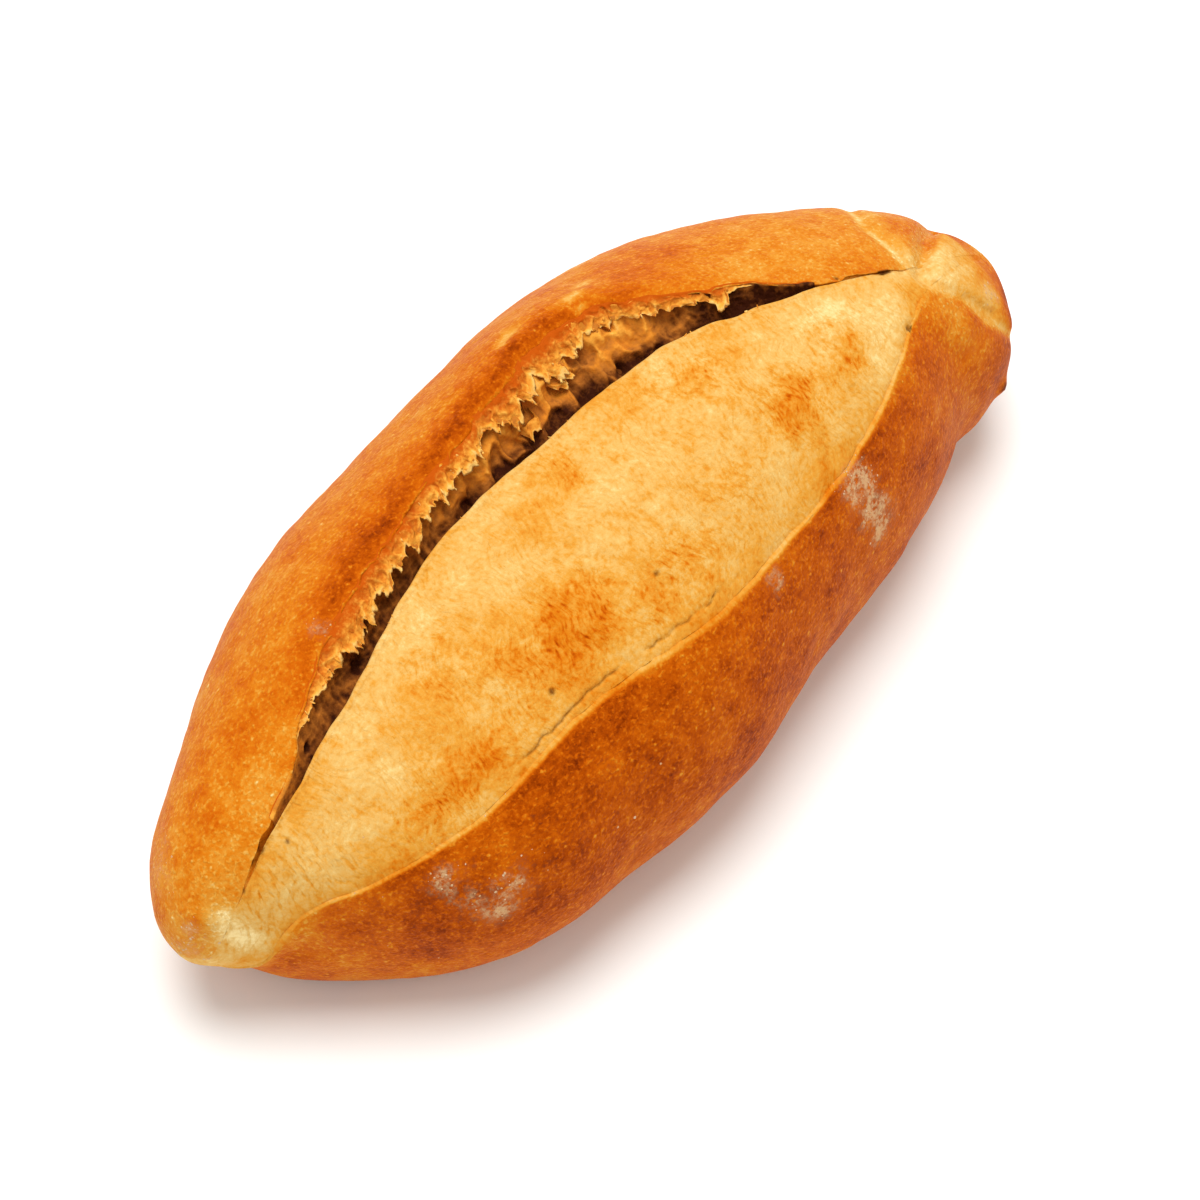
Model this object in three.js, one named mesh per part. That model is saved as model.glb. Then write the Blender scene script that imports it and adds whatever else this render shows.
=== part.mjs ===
// A small crusty white bread loaf, baked with one long slash that opened along the top.
// Millimetres, +Z up. +X runs along the loaf, +Y points to the raised ear beside the open gap.
// The crust is one closed skin: a section is worked out at each station and carried along the length.

import * as THREE from 'three';

const { clamp, degToRad, lerp } = THREE.MathUtils;

// Driving sizes
const HALF_LENGTH = 85;
const TIP_HEIGHT = 20;
const CROWN_RISE = 32;
const EAR_RISE = 5;
const RIDGE_RISE = 0.8;
const CREASE_DEPTH = 0.9;
const CRAG_DEPTH = 1.6;
const BASE_ROUND = 2.5;
const SWELL_HEIGHT = 0.22;
const DEEPEST_GAP = 11.5;
const WIDEST_GAP_ANGLE = 19.5;

// Wavelengths, as millimetres for one radian, of the slow swell and of the torn edge's long and short teeth
const SWELL_LENGTH = 8;
const LONG_TOOTH = 1.3;
const SHORT_TOOTH = 0.7;

// Shares that shape the section, the ends and the strokes
const FULLNESS = 0.94;
const TOP_TAPER = 0.92;
const FLAT_SHARE = 0.66;
const RELIEF_FADE_RISE = 12;
const CREASE_ANGLE = 3;
const EDGE_SPREAD = 0.1;
const RIM_START = 0.35;
const RIM_SPREAD = 0.05;
const RIM_CROWDING = 1.3;
const EDGE_ROLL = 0.5;
const BROW_ROLL = 0.12;
const BROW_LEAN = 0.2;
const GAP_FLOOR_SHARE = 0.32;
const TORN_FOOT = 0.25;
const TORN_LEAN = 0.1;
const LONG_TOOTH_SHARE = 0.65;
const QUICK_SWELL_SHARE = 0.6;

// Knots along the loaf: [station, value], with station -1 at the near tip and 1 at the far tip.
// Half widths and shares are before the ends draw in.
// Angles run round a section: 0 right bulge, 90 crown, 180 left bulge.
const LEFT_HALF_WIDTH = [
  [-1, 30.3], [-0.9, 31.1], [-0.8, 31.5], [-0.55, 37.4], [-0.2, 37.9], [0.1, 40.2], [0.4, 43.2], [0.6, 41.4],
  [0.7, 38.6], [0.8, 34.9], [0.9, 31], [1, 24],
];
const RIGHT_HALF_WIDTH = [
  [-1, 16.4], [-0.9, 21.9], [-0.8, 29.9], [-0.65, 39], [-0.5, 40], [-0.35, 37.7], [-0.2, 37.2], [-0.05, 36],
  [0.1, 32.6], [0.25, 30.8], [0.4, 30.2], [0.55, 29.2], [0.7, 26.6], [0.8, 30.4], [0.88, 33], [0.95, 30.3],
  [1, 26.6],
];
const RISE_SHARE = [
  [-1, 1], [0, 1], [0.45, 1], [0.62, 1], [0.7, 0.98], [0.8, 0.96], [0.88, 0.86], [0.95, 0.64], [1, 0.54],
];
const DROP_SHARE = [[-1, 0.76], [-0.93, 0.73], [-0.86, 1.12], [-0.76, 1.25], [-0.6, 1.25], [1, 1.25]];
const RIDGE_ANGLE = [
  [-1, -45], [-0.9, -8], [-0.85, 20], [-0.75, 36], [-0.5, 46.5], [-0.3, 48.5], [0.1, 42], [0.3, 42],
  [0.45, 48], [0.6, 57], [0.75, 67], [1, 70],
];
const RIDGE_STRENGTH = [[-1, 1.4], [-0.8, 1.4], [-0.6, 1], [0.66, 1], [0.78, 0], [1, 0]];
const BROW_ANGLE = [
  [-1, 42], [-0.92, 53], [-0.85, 67], [-0.75, 79], [-0.66, 86], [-0.56, 90.5], [-0.45, 95.5], [-0.3, 99.5],
  [-0.1, 100], [0.25, 99], [0.45, 96.5], [0.6, 90], [0.75, 79], [1, 74],
];
const GAP_ANGLE = [
  [-1, 3], [-0.85, 3], [-0.74, 4.5], [-0.66, 9], [-0.58, 11.5], [-0.45, 10.5], [-0.3, 10.8], [-0.14, 14.5],
  [0, 17.5], [0.13, WIDEST_GAP_ANGLE], [0.22, 17.5], [0.32, 11], [0.41, 6], [0.52, 2.5], [1, 2.5],
];
const GAP_DEPTH = [
  [-1, 0], [-0.93, 0], [-0.8, 1.6], [-0.6, 5], [-0.3, 7.5], [0, DEEPEST_GAP], [0.2, 10], [0.4, 5],
  [0.52, 1.6], [0.68, 1], [0.76, 0], [1, 0],
];
const TORN_SHARE = [[-1, 0], [-0.66, 0], [-0.5, 1], [0.38, 1], [0.5, 0], [1, 0]];

// Folds where the dough was tucked in at the far tip: a path of [station, angle], and its depth and width
const END_FOLDS = [
  { path: [[0.705, 79], [0.726, 83], [0.747, 105], [0.79, 125], [0.833, 144]], depth: 0.7, width: 2.2 },
  {
    path: [[0.735, 74], [0.747, 76], [0.805, 86.5], [0.85, 95], [0.893, 103], [0.94, 125]],
    depth: 1.9,
    width: 2.4,
  },
  { path: [[0.74, 68], [0.767, 58], [0.806, 43], [0.857, 21], [0.91, -10]], depth: 1.1, width: 2 },
];

// Rows along the loaf, and columns in each stroke round the section
const ROWS = 80;
const COLUMNS = { flap: 22, edge: 2, belly: 11, brow: 4, torn: 5, ear: 12, left: 10 };

const CRUST_COLOUR = 0xd98434;
const CRUST_ROUGHNESS = 0.62;

/** Smooth curve through [station, value] knots, as a function of the station. */
function along(knots) {
  const stations = knots.map((knot) => knot[0]);
  const values = knots.map((knot) => knot[1]);
  const curve = new THREE.CubicInterpolant(stations, values, 1);
  return (station) => curve.evaluate(station)[0];
}

const leftHalfWidth = along(LEFT_HALF_WIDTH);
const rightHalfWidth = along(RIGHT_HALF_WIDTH);
const riseShare = along(RISE_SHARE);
const dropShare = along(DROP_SHARE);
const ridgeAngle = along(RIDGE_ANGLE);
const ridgeStrength = along(RIDGE_STRENGTH);
const browAngle = along(BROW_ANGLE);
const gapAngle = along(GAP_ANGLE);
const gapDepth = along(GAP_DEPTH);
const tornShare = along(TORN_SHARE);

/** The sizes of the section at a station: widths, rise, underside and the places of its features. */
function sectionAt(station) {
  const spindle = Math.sqrt(1 - station * station);
  const pastFlat = clamp((Math.abs(station) - FLAT_SHARE) / (1 - FLAT_SHARE), 0, 1);
  const rise = CROWN_RISE * spindle ** TOP_TAPER * riseShare(station);
  const under = TIP_HEIGHT * (1 - Math.sqrt(1 - pastFlat * pastFlat));
  const relief = Math.min(1, rise / RELIEF_FADE_RISE);
  const depth = Math.max(0, gapDepth(station));
  const openness = (depth / DEEPEST_GAP) * (gapAngle(station) / WIDEST_GAP_ANGLE);
  return {
    x: HALF_LENGTH * station,
    left: leftHalfWidth(station) * spindle,
    right: rightHalfWidth(station) * spindle,
    rise,
    relief,
    drop: dropShare(station) * (TIP_HEIGHT - under),
    under,
    ridge: ridgeAngle(station),
    edge: relief * Math.max(0, ridgeStrength(station)),
    brow: browAngle(station),
    lip: browAngle(station) + gapAngle(station),
    depth,
    earRise: EAR_RISE * openness,
    torn: clamp(tornShare(station), 0, 1),
  };
}

/** A signed power, which squares a sine or cosine up a little. */
function fuller(value) {
  return Math.sign(value) * Math.abs(value) ** FULLNESS;
}

/** The direction straight out of the section at an angle, as (y, z). */
function outward(angle) {
  const turn = degToRad(angle);
  return new THREE.Vector2(-Math.cos(turn), Math.sin(turn));
}

/** The larger of a height and zero, with the corner rounded. */
function roundedFloor(height) {
  if (height >= BASE_ROUND) return height;
  if (height <= -BASE_ROUND) return 0;
  return (height + BASE_ROUND) ** 2 / (4 * BASE_ROUND);
}

/** The slow unevenness of the baked skin, in millimetres. */
function swell(x, angle) {
  const turn = degToRad(angle);
  const slow = Math.sin(x / SWELL_LENGTH + 2 * Math.sin(2 * turn));
  const quick = Math.sin((2 * x) / SWELL_LENGTH - 3 * turn);
  return SWELL_HEIGHT * (slow + QUICK_SWELL_SHARE * quick);
}

/**
 * The plain section at an angle, as (y, z), pushed out by a height.
 * It has four elliptic quarters and is cut flat below.
 */
function outline(section, angle, height = 0) {
  const direction = outward(angle);
  const halfWidth = direction.x > 0 ? section.left : section.right;
  const halfHeight = direction.y > 0 ? section.rise : section.drop;
  const point = new THREE.Vector2(halfWidth * fuller(direction.x), halfHeight * fuller(direction.y));
  point.y += TIP_HEIGHT;
  point.addScaledVector(direction, height + section.relief * swell(section.x, angle));
  point.y = section.under + roundedFloor(point.y - section.under);
  return point;
}

/** Uneven teeth of the torn crumb at a place along and across it, between -1 and 1. */
function crags(x, across) {
  const long = Math.sin(x / LONG_TOOTH + 2 * Math.sin(x / (4 * LONG_TOOTH) + across));
  const short = Math.sin(x / SHORT_TOOTH + 2 * across);
  return LONG_TOOTH_SHARE * long + (1 - LONG_TOOTH_SHARE) * short;
}

/** The right flap: from the middle of the base, up the side, to the ridge. */
function flapStroke(section, share) {
  const nearRidge = Math.exp(-(((1 - share) / EDGE_SPREAD) ** 2));
  return outline(section, lerp(-90, section.ridge, share), RIDGE_RISE * section.edge * nearRidge);
}

/** The pale belly that burst through the slash: from the crease over the crown to the brow of the gap. */
function bellyStroke(section, share) {
  const nearCrease = Math.exp(-share / EDGE_SPREAD);
  const angle = lerp(section.ridge + CREASE_ANGLE, section.brow, share);
  return outline(section, angle, -CREASE_DEPTH * section.edge * nearCrease);
}

/** The ridge rolled over into the crease beside the belly. */
function edgeStroke(section, share) {
  const ridge = flapStroke(section, 1);
  const crease = bellyStroke(section, 0);
  const across = crease.clone().sub(ridge);
  const lift = outward(section.ridge).multiplyScalar(EDGE_ROLL * section.edge);
  const over = ridge.clone().addScaledVector(across, 0.5).add(lift);
  const down = crease.clone().addScaledVector(across, -0.25).addScaledVector(lift, 0.5);
  return new THREE.CubicBezierCurve(ridge, over, down, crease).getPoint(share);
}

/** The ear: from the torn lip over its rounded rim and down to the left bulge. */
function earStroke(section, share) {
  const eased = share ** RIM_CROWDING;
  const nearLip = Math.exp(-eased / RIM_SPREAD);
  const rim = (1 - eased) ** 2 * (1 - (1 - RIM_START) * nearLip);
  const point = outline(section, lerp(section.lip, 180, eased), section.earRise * rim);
  point.x -= 0.5 * CRAG_DEPTH * section.torn * nearLip * (1 + crags(section.x, 0));
  return point;
}

/** The gap between the brow and the lip: its two edges, its width and its lowest point. */
function gapOf(section) {
  const brow = bellyStroke(section, 1);
  const lip = earStroke(section, 0);
  const width = lip.x - brow.x;
  const floor = brow.clone().lerp(lip, GAP_FLOOR_SHARE);
  floor.y -= section.depth;
  return { brow, lip, width, floor };
}

/** The belly's side of the gap: rolls over the brow and falls to the gap's floor. */
function browStroke(section, share) {
  const { brow, width, floor } = gapOf(section);
  const onward = brow.clone().sub(outline(section, section.brow - CREASE_ANGLE)).normalize();
  const over = brow.clone().addScaledVector(onward, BROW_ROLL * width);
  const down = new THREE.Vector2(floor.x - BROW_LEAN * width, lerp(floor.y, brow.y, 0.5));
  return new THREE.CubicBezierCurve(brow, over, down, floor).getPoint(share);
}

/** The ear's side of the gap: torn crumb that climbs from the gap's floor to the lip. */
function tornStroke(section, share) {
  const { lip, width, floor } = gapOf(section);
  const out = new THREE.Vector2(floor.x + TORN_FOOT * width, lerp(floor.y, lip.y, TORN_LEAN));
  const up = new THREE.Vector2(lip.x - TORN_LEAN * width, lerp(floor.y, lip.y, 0.5));
  const point = new THREE.CubicBezierCurve(floor, out, up, lip).getPoint(share);
  point.x -= CRAG_DEPTH * section.torn * Math.sin(Math.PI * share) * crags(section.x, 5 * share);
  return point;
}

/** The left side: from the bulge down and under to the middle of the base. */
function leftStroke(section, share) {
  return outline(section, lerp(180, 270, share));
}

const STROKES = {
  flap: flapStroke,
  edge: edgeStroke,
  belly: bellyStroke,
  brow: browStroke,
  torn: tornStroke,
  ear: earStroke,
  left: leftStroke,
};

/** A point of the plain skin in space, at a station and an angle. */
function skinPoint([station, angle]) {
  const section = sectionAt(station);
  const point = outline(section, angle);
  return new THREE.Vector3(section.x, point.x, point.y);
}

const FOLDS = END_FOLDS.map(({ path, depth, width }) => {
  const points = path.map(skinPoint);
  const lines = points.slice(1).map((point, index) => new THREE.Line3(points[index], point));
  return { lines, depth, width };
});

/** Press the folds of the far tip into a point, towards the loaf's own axis. */
function foldIn(point) {
  const inward = new THREE.Vector3(point.x, 0, TIP_HEIGHT).sub(point).normalize();
  const nearest = new THREE.Vector3();
  let press = 0;
  for (const { lines, depth, width } of FOLDS) {
    const distances = lines.map((line) => line.closestPointToPoint(point, true, nearest).distanceTo(point));
    press += depth * Math.exp(-((Math.min(...distances) / width) ** 2));
  }
  return point.addScaledVector(inward, press);
}

/** One closed ring of points round the section at a station. */
function ringAt(station) {
  const section = sectionAt(station);
  const ring = [];
  for (const [name, count] of Object.entries(COLUMNS)) {
    for (let step = 0; step < count; step += 1) {
      const point = STROKES[name](section, step / count);
      ring.push(foldIn(new THREE.Vector3(section.x, point.x, point.y)));
    }
  }
  return ring;
}

/** The closed skin: rings along the length, with one point at each tip, centred over its own base. */
function loafGeometry() {
  const points = [new THREE.Vector3(-HALF_LENGTH, 0, TIP_HEIGHT)];
  for (let row = 1; row < ROWS; row += 1) {
    points.push(...ringAt(-Math.cos((Math.PI * row) / ROWS)));
  }
  points.push(new THREE.Vector3(HALF_LENGTH, 0, TIP_HEIGHT));

  const around = Object.values(COLUMNS).reduce((sum, count) => sum + count, 0);
  const farTip = points.length - 1;
  const at = (row, column) => 1 + row * around + (column % around);
  const triangles = [];
  for (let column = 0; column < around; column += 1) {
    triangles.push(0, at(0, column), at(0, column + 1));
    for (let row = 0; row < ROWS - 2; row += 1) {
      triangles.push(at(row, column), at(row + 1, column), at(row + 1, column + 1));
      triangles.push(at(row, column), at(row + 1, column + 1), at(row, column + 1));
    }
    triangles.push(at(ROWS - 2, column), farTip, at(ROWS - 2, column + 1));
  }

  const geometry = new THREE.BufferGeometry().setFromPoints(points);
  geometry.setIndex(triangles);
  geometry.computeBoundingBox();
  const { min, max } = geometry.boundingBox;
  geometry.translate(-(min.x + max.x) / 2, -(min.y + max.y) / 2, -min.z);
  geometry.computeVertexNormals();
  return geometry;
}

const crust = new THREE.MeshStandardMaterial({
  color: CRUST_COLOUR,
  roughness: CRUST_ROUGHNESS,
  metalness: 0,
});
const loaf = new THREE.Mesh(loafGeometry(), crust);
loaf.name = 'loaf';

const bread = new THREE.Group();
bread.add(loaf);

export default bread;
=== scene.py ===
"""A small crusty white bread loaf with one long slash that opened in the oven, on a studio floor.

Sizes inside the classes are millimetres, in the loaf's own frame: +X along the loaf, +Y to the raised
ear, +Z up. Meshes are put into the scene in metres. A place on the crust is a station, from -1 at the
near tip to 1 at the far tip, and an angle round the section: 0 right bulge, 90 crown, 180 left bulge.
A range is where a soft step starts and where it is full; a pair is two values of one kind.
"""

import itertools
import logging
import math
from dataclasses import dataclass, field
from enum import Enum
from typing import Any, Union

import bpy
import numpy as np
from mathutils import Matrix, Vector


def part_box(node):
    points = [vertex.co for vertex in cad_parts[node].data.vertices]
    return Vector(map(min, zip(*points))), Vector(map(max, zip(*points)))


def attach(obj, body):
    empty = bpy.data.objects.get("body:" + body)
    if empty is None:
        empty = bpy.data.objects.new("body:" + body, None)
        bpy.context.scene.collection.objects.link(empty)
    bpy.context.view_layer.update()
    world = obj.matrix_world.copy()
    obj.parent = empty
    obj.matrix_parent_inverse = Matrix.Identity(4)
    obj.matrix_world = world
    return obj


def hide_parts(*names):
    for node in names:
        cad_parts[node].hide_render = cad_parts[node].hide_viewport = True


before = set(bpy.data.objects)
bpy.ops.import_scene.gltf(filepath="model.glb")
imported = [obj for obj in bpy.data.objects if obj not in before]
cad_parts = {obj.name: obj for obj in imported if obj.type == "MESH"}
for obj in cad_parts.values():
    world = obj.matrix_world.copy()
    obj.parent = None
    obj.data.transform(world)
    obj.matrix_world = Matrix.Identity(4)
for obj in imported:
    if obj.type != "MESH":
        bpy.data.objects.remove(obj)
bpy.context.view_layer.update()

log = logging.getLogger("loaf")

Array = np.ndarray
Object = bpy.types.Object
Material = bpy.types.Material
Knots = tuple[tuple[float, float], ...]
Range = tuple[float, float]
Pair = tuple[float, float]
Triple = tuple[float, float, float]
Colour = Triple
Stops = tuple[tuple[float, Colour], ...]

METRES = 0.001
BODY = "root"
NODE = "loaf"
TINY = 1e-9

# Angles round a section, in degrees
BASE_MIDDLE = -90.0
LEFT_BULGE = 180.0
FULL_TURN = 360.0

# Where the form's sides are read for its middle: first, last and number of stations and of angles
CENTRING_STATIONS = (-0.95, 0.95, 400)
RIGHT_SIDE = (-30.0, 30.0, 121)
LEFT_SIDE = (150.0, 210.0, 121)

# A grain's random shares are cut off at this many spreads
WIDEST_DRAW = 1.5

# Large whole numbers that scramble a lattice place and a seed into a random value
LATTICE_FACTORS = (73856093, 19349663, 83492791)
SEED_FACTOR = 668265263
MIXING = ((15, 739982445), (12, 695872825), (15, 1))
WORD = 0xFFFFFFFF

# Socket numbers of a Mix node that mixes colours: its share, its two colours, and its output
MIX_SHARE = 0
MIX_FIRST = 6
MIX_SECOND = 7
MIXED_COLOUR = 2


class Slot(Enum):
    """The material slots of the part."""

    CRUST = "crust"
    CRUMB = "crumb"
    FLOUR = "flour"


class Stroke(Enum):
    """The strokes that make up a section, in order round it from the middle of the base."""

    FLAP = 0
    EDGE = 1
    BELLY = 2
    BROW = 3
    TORN = 4
    EAR = 5
    LEFT = 6


# Curves and noise


def lerp(start: Any, end: Any, share: Any) -> Any:
    """The value at a share of the way from start to end."""
    return start + (end - start) * share


def smoothstep(low: float, high: float, value: Array) -> Array:
    """A soft step: 0 below low, 1 above high, and 3s^2 - 2s^3 of the share s between them."""
    share = np.clip((value - low) / (high - low), 0.0, 1.0)
    return share * share * (3.0 - 2.0 * share)


def bell(value: Array, width: Union[float, Array]) -> Array:
    """A bell curve: e to the power of minus the square of value over width."""
    return np.exp(-((value / width) ** 2))


def unit(vectors: Array) -> Array:
    """Vectors at length 1: each over its own length."""
    return vectors / np.maximum(np.linalg.norm(vectors, axis=-1, keepdims=True), TINY)


def on_axis(x: Array) -> Array:
    """Points on the X axis."""
    return x[..., None] * np.array([1.0, 0.0, 0.0])


@dataclass(frozen=True)
class Rise:
    """A soft step of a height: it starts at low and is full at high."""

    height: float
    low: float
    high: float

    def at(self, value: Array) -> Array:
        """The height times the soft step."""
        return self.height * smoothstep(self.low, self.high, value)


@dataclass(frozen=True)
class Stretch:
    """A stretch of the loaf between two stations, with soft ends as long as the fade."""

    start: float
    end: float
    fade: float

    def at(self, stations: Array) -> Array:
        """1 on the stretch and 0 off it: a soft step up at its start times a soft step down at its end."""
        up = smoothstep(self.start - self.fade, self.start + self.fade, stations)
        return up * smoothstep(-self.end - self.fade, -self.end + self.fade, -stations)


def curve_through(knots: Knots, stations: Array) -> Array:
    """A smooth curve through knots.

    Between two knots it is the cubic with their values and slopes, and a knot's slope is the mean of
    the slopes of the chords on its two sides.

    Args:
        knots: (station, value) pairs in rising order.
        stations: where to read the curve.

    Returns:
        The curve's values, in the shape of stations.
    """
    places, values = np.array(knots, dtype=float).T
    widths = np.diff(places)
    chords = np.diff(values) / widths
    slopes = np.concatenate([chords[:1], 0.5 * (chords[1:] + chords[:-1]), chords[-1:]])
    span = np.clip(np.searchsorted(places, stations, side="right") - 1, 0, len(chords) - 1)
    s = (stations - places[span]) / widths[span]
    from_start = (1 + 2 * s) * (1 - s) ** 2 * values[span] + s * (1 - s) ** 2 * widths[span] * slopes[span]
    from_end = s**2 * (3 - 2 * s) * values[span + 1] - s**2 * (1 - s) * widths[span] * slopes[span + 1]
    return from_start + from_end


def bezier(start: Array, first: Array, second: Array, end: Array, share: Array) -> Array:
    """A cubic Bezier curve: its four points weighed by the Bernstein polynomials of the share.

    Args:
        start: where it starts.
        first: the handle that it leaves towards.
        second: the handle that it arrives from.
        end: where it ends.
        share: how far along it to read.

    Returns:
        The points at the shares.
    """
    s = share[..., None]
    rest = 1.0 - s
    return rest**3 * start + 3 * rest**2 * s * first + 3 * rest * s**2 * second + s**3 * end


def lattice_values(corners: Array, seed: int) -> Array:
    """Random values for whole-number places: their coordinates are hashed with the seed.

    Args:
        corners: places with three whole coordinates on the last axis.
        seed: picks the values.

    Returns:
        A value from -1 to 1 for each place.
    """
    mixed = sum(corners[..., axis] * factor for axis, factor in enumerate(LATTICE_FACTORS))
    mixed = (mixed + seed * SEED_FACTOR) & WORD
    for shift, factor in MIXING:
        mixed = ((mixed ^ (mixed >> shift)) * factor) & WORD
    return mixed / (0.5 * WORD) - 1.0


def noise(points: Array, seed: int) -> Array:
    """Smooth noise between -1 and 1.

    Each corner of the unit lattice has a random value. Between the corners the eight values are blended
    by the curve 6s^5 - 15s^4 + 10s^3 along each axis.

    Args:
        points: places with three coordinates on the last axis, in lattice units.
        seed: picks the random values.

    Returns:
        One value for each place.
    """
    base = np.floor(points).astype(np.int64)
    share = points - base
    ease = share**3 * (share * (6.0 * share - 15.0) + 10.0)
    total = np.zeros(points.shape[:-1])
    for corner in itertools.product((0, 1), repeat=3):
        offset = np.array(corner)
        weight = np.prod(np.where(offset == 1, ease, 1.0 - ease), axis=-1)
        total += weight * lattice_values(base + offset, seed)
    return total


@dataclass(frozen=True)
class Noise:
    """Noise of a size and a strength with finer layers on it, each half as large and half as strong."""

    size: float
    layers: int
    seed: int
    strength: float = 1.0

    def at(self, points: Array) -> Array:
        """The strength times the sum of the layers, at places in millimetres."""
        layers = enumerate(0.5 ** np.arange(self.layers))
        return self.strength * sum(s * noise(points / (self.size * s), self.seed + n) for n, s in layers)


@dataclass(frozen=True)
class Warp:
    """A random shove: noise of one size along each axis, times a strength in millimetres."""

    size: float
    strength: float
    seed: int

    def at(self, points: Array) -> Array:
        """The points, each moved by the noise at its place."""
        shove = [noise(points / self.size, self.seed + axis) for axis in range(3)]
        return points + self.strength * np.stack(shove, axis=-1)


@dataclass(frozen=True)
class Bubbles:
    """Bubbles in crumb: space is cut into cubes of a size, each with one centre at a random place in it."""

    size: float
    seed: int

    def distances(self, points: Array) -> tuple[Array, Array]:
        """How far each place is from the nearest bubble centre and from the next one.

        The centres of a place's own cube and of the 26 cubes round it are tried, and the two least
        distances are kept.

        Args:
            points: places in millimetres, with three coordinates on the last axis.

        Returns:
            The two distances, as shares of the size.
        """
        scaled = points / self.size
        base = np.floor(scaled).astype(np.int64)
        nearest = np.full(scaled.shape[:-1], np.inf)
        second = nearest
        for step in itertools.product((-1, 0, 1), repeat=3):
            cube = base + np.array(step)
            offsets = [lattice_values(cube, self.seed + axis) for axis in range(3)]
            centre = 0.5 + 0.5 * np.stack(offsets, axis=-1)
            distance = np.linalg.norm(cube + centre - scaled, axis=-1)
            second = np.minimum(second, np.maximum(nearest, distance))
            nearest = np.minimum(nearest, distance)
        return nearest, second


@dataclass(frozen=True)
class Teeth:
    """Pointed teeth along a line: each step of it has one tip, and the height falls straight from a tip."""

    step: float
    strength: float
    seed: int
    wander: float = 0.4
    height: float = 0.7
    unevenness: float = 0.3
    steepness: float = 1.6

    def at(self, x: Array) -> Array:
        """How tall the teeth are.

        A tip stands a random way off the middle of its step and has a random height. Of the teeth that
        reach a place, the tallest counts.

        Args:
            x: places on the line in millimetres.

        Returns:
            Heights, from 0 to the strength.
        """
        scaled = x / self.step
        base = np.floor(scaled).astype(np.int64)
        tallest = np.zeros(scaled.shape)
        for beside in (-1, 0, 1):
            cell = base + beside
            corner = on_axis(cell).astype(np.int64)
            tip = cell + 0.5 + self.wander * lattice_values(corner, self.seed)
            height = self.height + self.unevenness * lattice_values(corner, self.seed + 1)
            tallest = np.maximum(tallest, height - self.steepness * np.abs(scaled - tip))
        return self.strength * tallest


def grid_normals(points: Array) -> Array:
    """Unit normals of a grid that closes on itself along its columns: the cross product of the two steps.

    Args:
        points: the grid, shaped (rows, columns, 3).

    Returns:
        A normal for each point.
    """
    along = np.gradient(points, axis=0)
    round_ring = np.roll(points, -1, axis=1) - np.roll(points, 1, axis=1)
    return unit(np.cross(along, round_ring))


# Meshes


@dataclass
class Surface:
    """A mesh as arrays: vertices in millimetres, quads, triangles, and values carried by the vertices."""

    vertices: Array
    quads: Array
    triangles: Array
    values: dict[str, Array] = field(default_factory=dict)

    def put(self, name: str) -> Object:
        """Make the mesh and its object, with smooth shading, in the scene.

        Args:
            name: name of the piece.

        Returns:
            The object, at the origin.
        """
        mesh = bpy.data.meshes.new(name)
        mesh.vertices.add(len(self.vertices))
        mesh.vertices.foreach_set("co", (self.vertices * METRES).astype(np.float32).ravel())
        corners = np.concatenate([self.quads.ravel(), self.triangles.ravel()])
        sides = np.concatenate([np.full(len(self.quads), 4), np.full(len(self.triangles), 3)])
        mesh.loops.add(len(corners))
        mesh.loops.foreach_set("vertex_index", corners.astype(np.int32))
        mesh.polygons.add(len(sides))
        mesh.polygons.foreach_set("loop_start", (np.cumsum(sides) - sides).astype(np.int32))
        for title, value in self.values.items():
            layer = mesh.attributes.new(title, "FLOAT", "POINT")
            layer.data.foreach_set("value", value.astype(np.float32).ravel())
        mesh.update(calc_edges=True)
        mesh.validate()
        mesh.shade_smooth()
        piece = bpy.data.objects.new(name, mesh)
        bpy.context.scene.collection.objects.link(piece)
        return piece


def ring_quads(numbers: Array) -> Array:
    """Quads of a grid of vertex numbers whose last column joins its first, in outward order."""
    after = np.roll(numbers, -1, axis=1)
    return np.stack([numbers[:-1], numbers[1:], after[1:], after[:-1]], axis=-1).reshape(-1, 4)


def closed_tube(rings: Array, start: Array, end: Array, values: dict[str, Array]) -> Surface:
    """A closed surface: rings along a path, with a fan of triangles to a point at each end.

    Args:
        rings: points, shaped (rows, columns, 3).
        start: the point at the first end.
        end: the point at the other end.
        values: arrays shaped (rows, columns); an end point takes the mean of the ring beside it.

    Returns:
        The surface.
    """
    rows, columns = rings.shape[:2]
    vertices = np.concatenate([rings.reshape(-1, 3), start[None], end[None]])
    numbers = np.arange(rows * columns).reshape(rows, columns)
    first, last = numbers[0], numbers[-1]
    first_fan = np.stack([np.full(columns, rows * columns), first, np.roll(first, -1)], axis=-1)
    end_fan = np.stack([last, np.full(columns, rows * columns + 1), np.roll(last, -1)], axis=-1)
    carried = {
        title: np.concatenate([value.ravel(), [value[0].mean()], [value[-1].mean()]])
        for title, value in values.items()
    }
    return Surface(vertices, ring_quads(numbers), np.concatenate([first_fan, end_fan]), carried)


def joined(surfaces: list[Surface]) -> Surface:
    """Several surfaces as one: their arrays end to end, with the vertex numbers moved on.

    Args:
        surfaces: the surfaces, which carry the same values.

    Returns:
        The one surface.
    """
    starts = np.cumsum([0] + [len(surface.vertices) for surface in surfaces[:-1]])
    titles = surfaces[0].values
    return Surface(
        np.concatenate([surface.vertices for surface in surfaces]),
        np.concatenate([surface.quads + start for surface, start in zip(surfaces, starts)]),
        np.concatenate([surface.triangles + start for surface, start in zip(surfaces, starts)]),
        {title: np.concatenate([surface.values[title] for surface in surfaces]) for title in titles},
    )


# Shader maths


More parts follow.
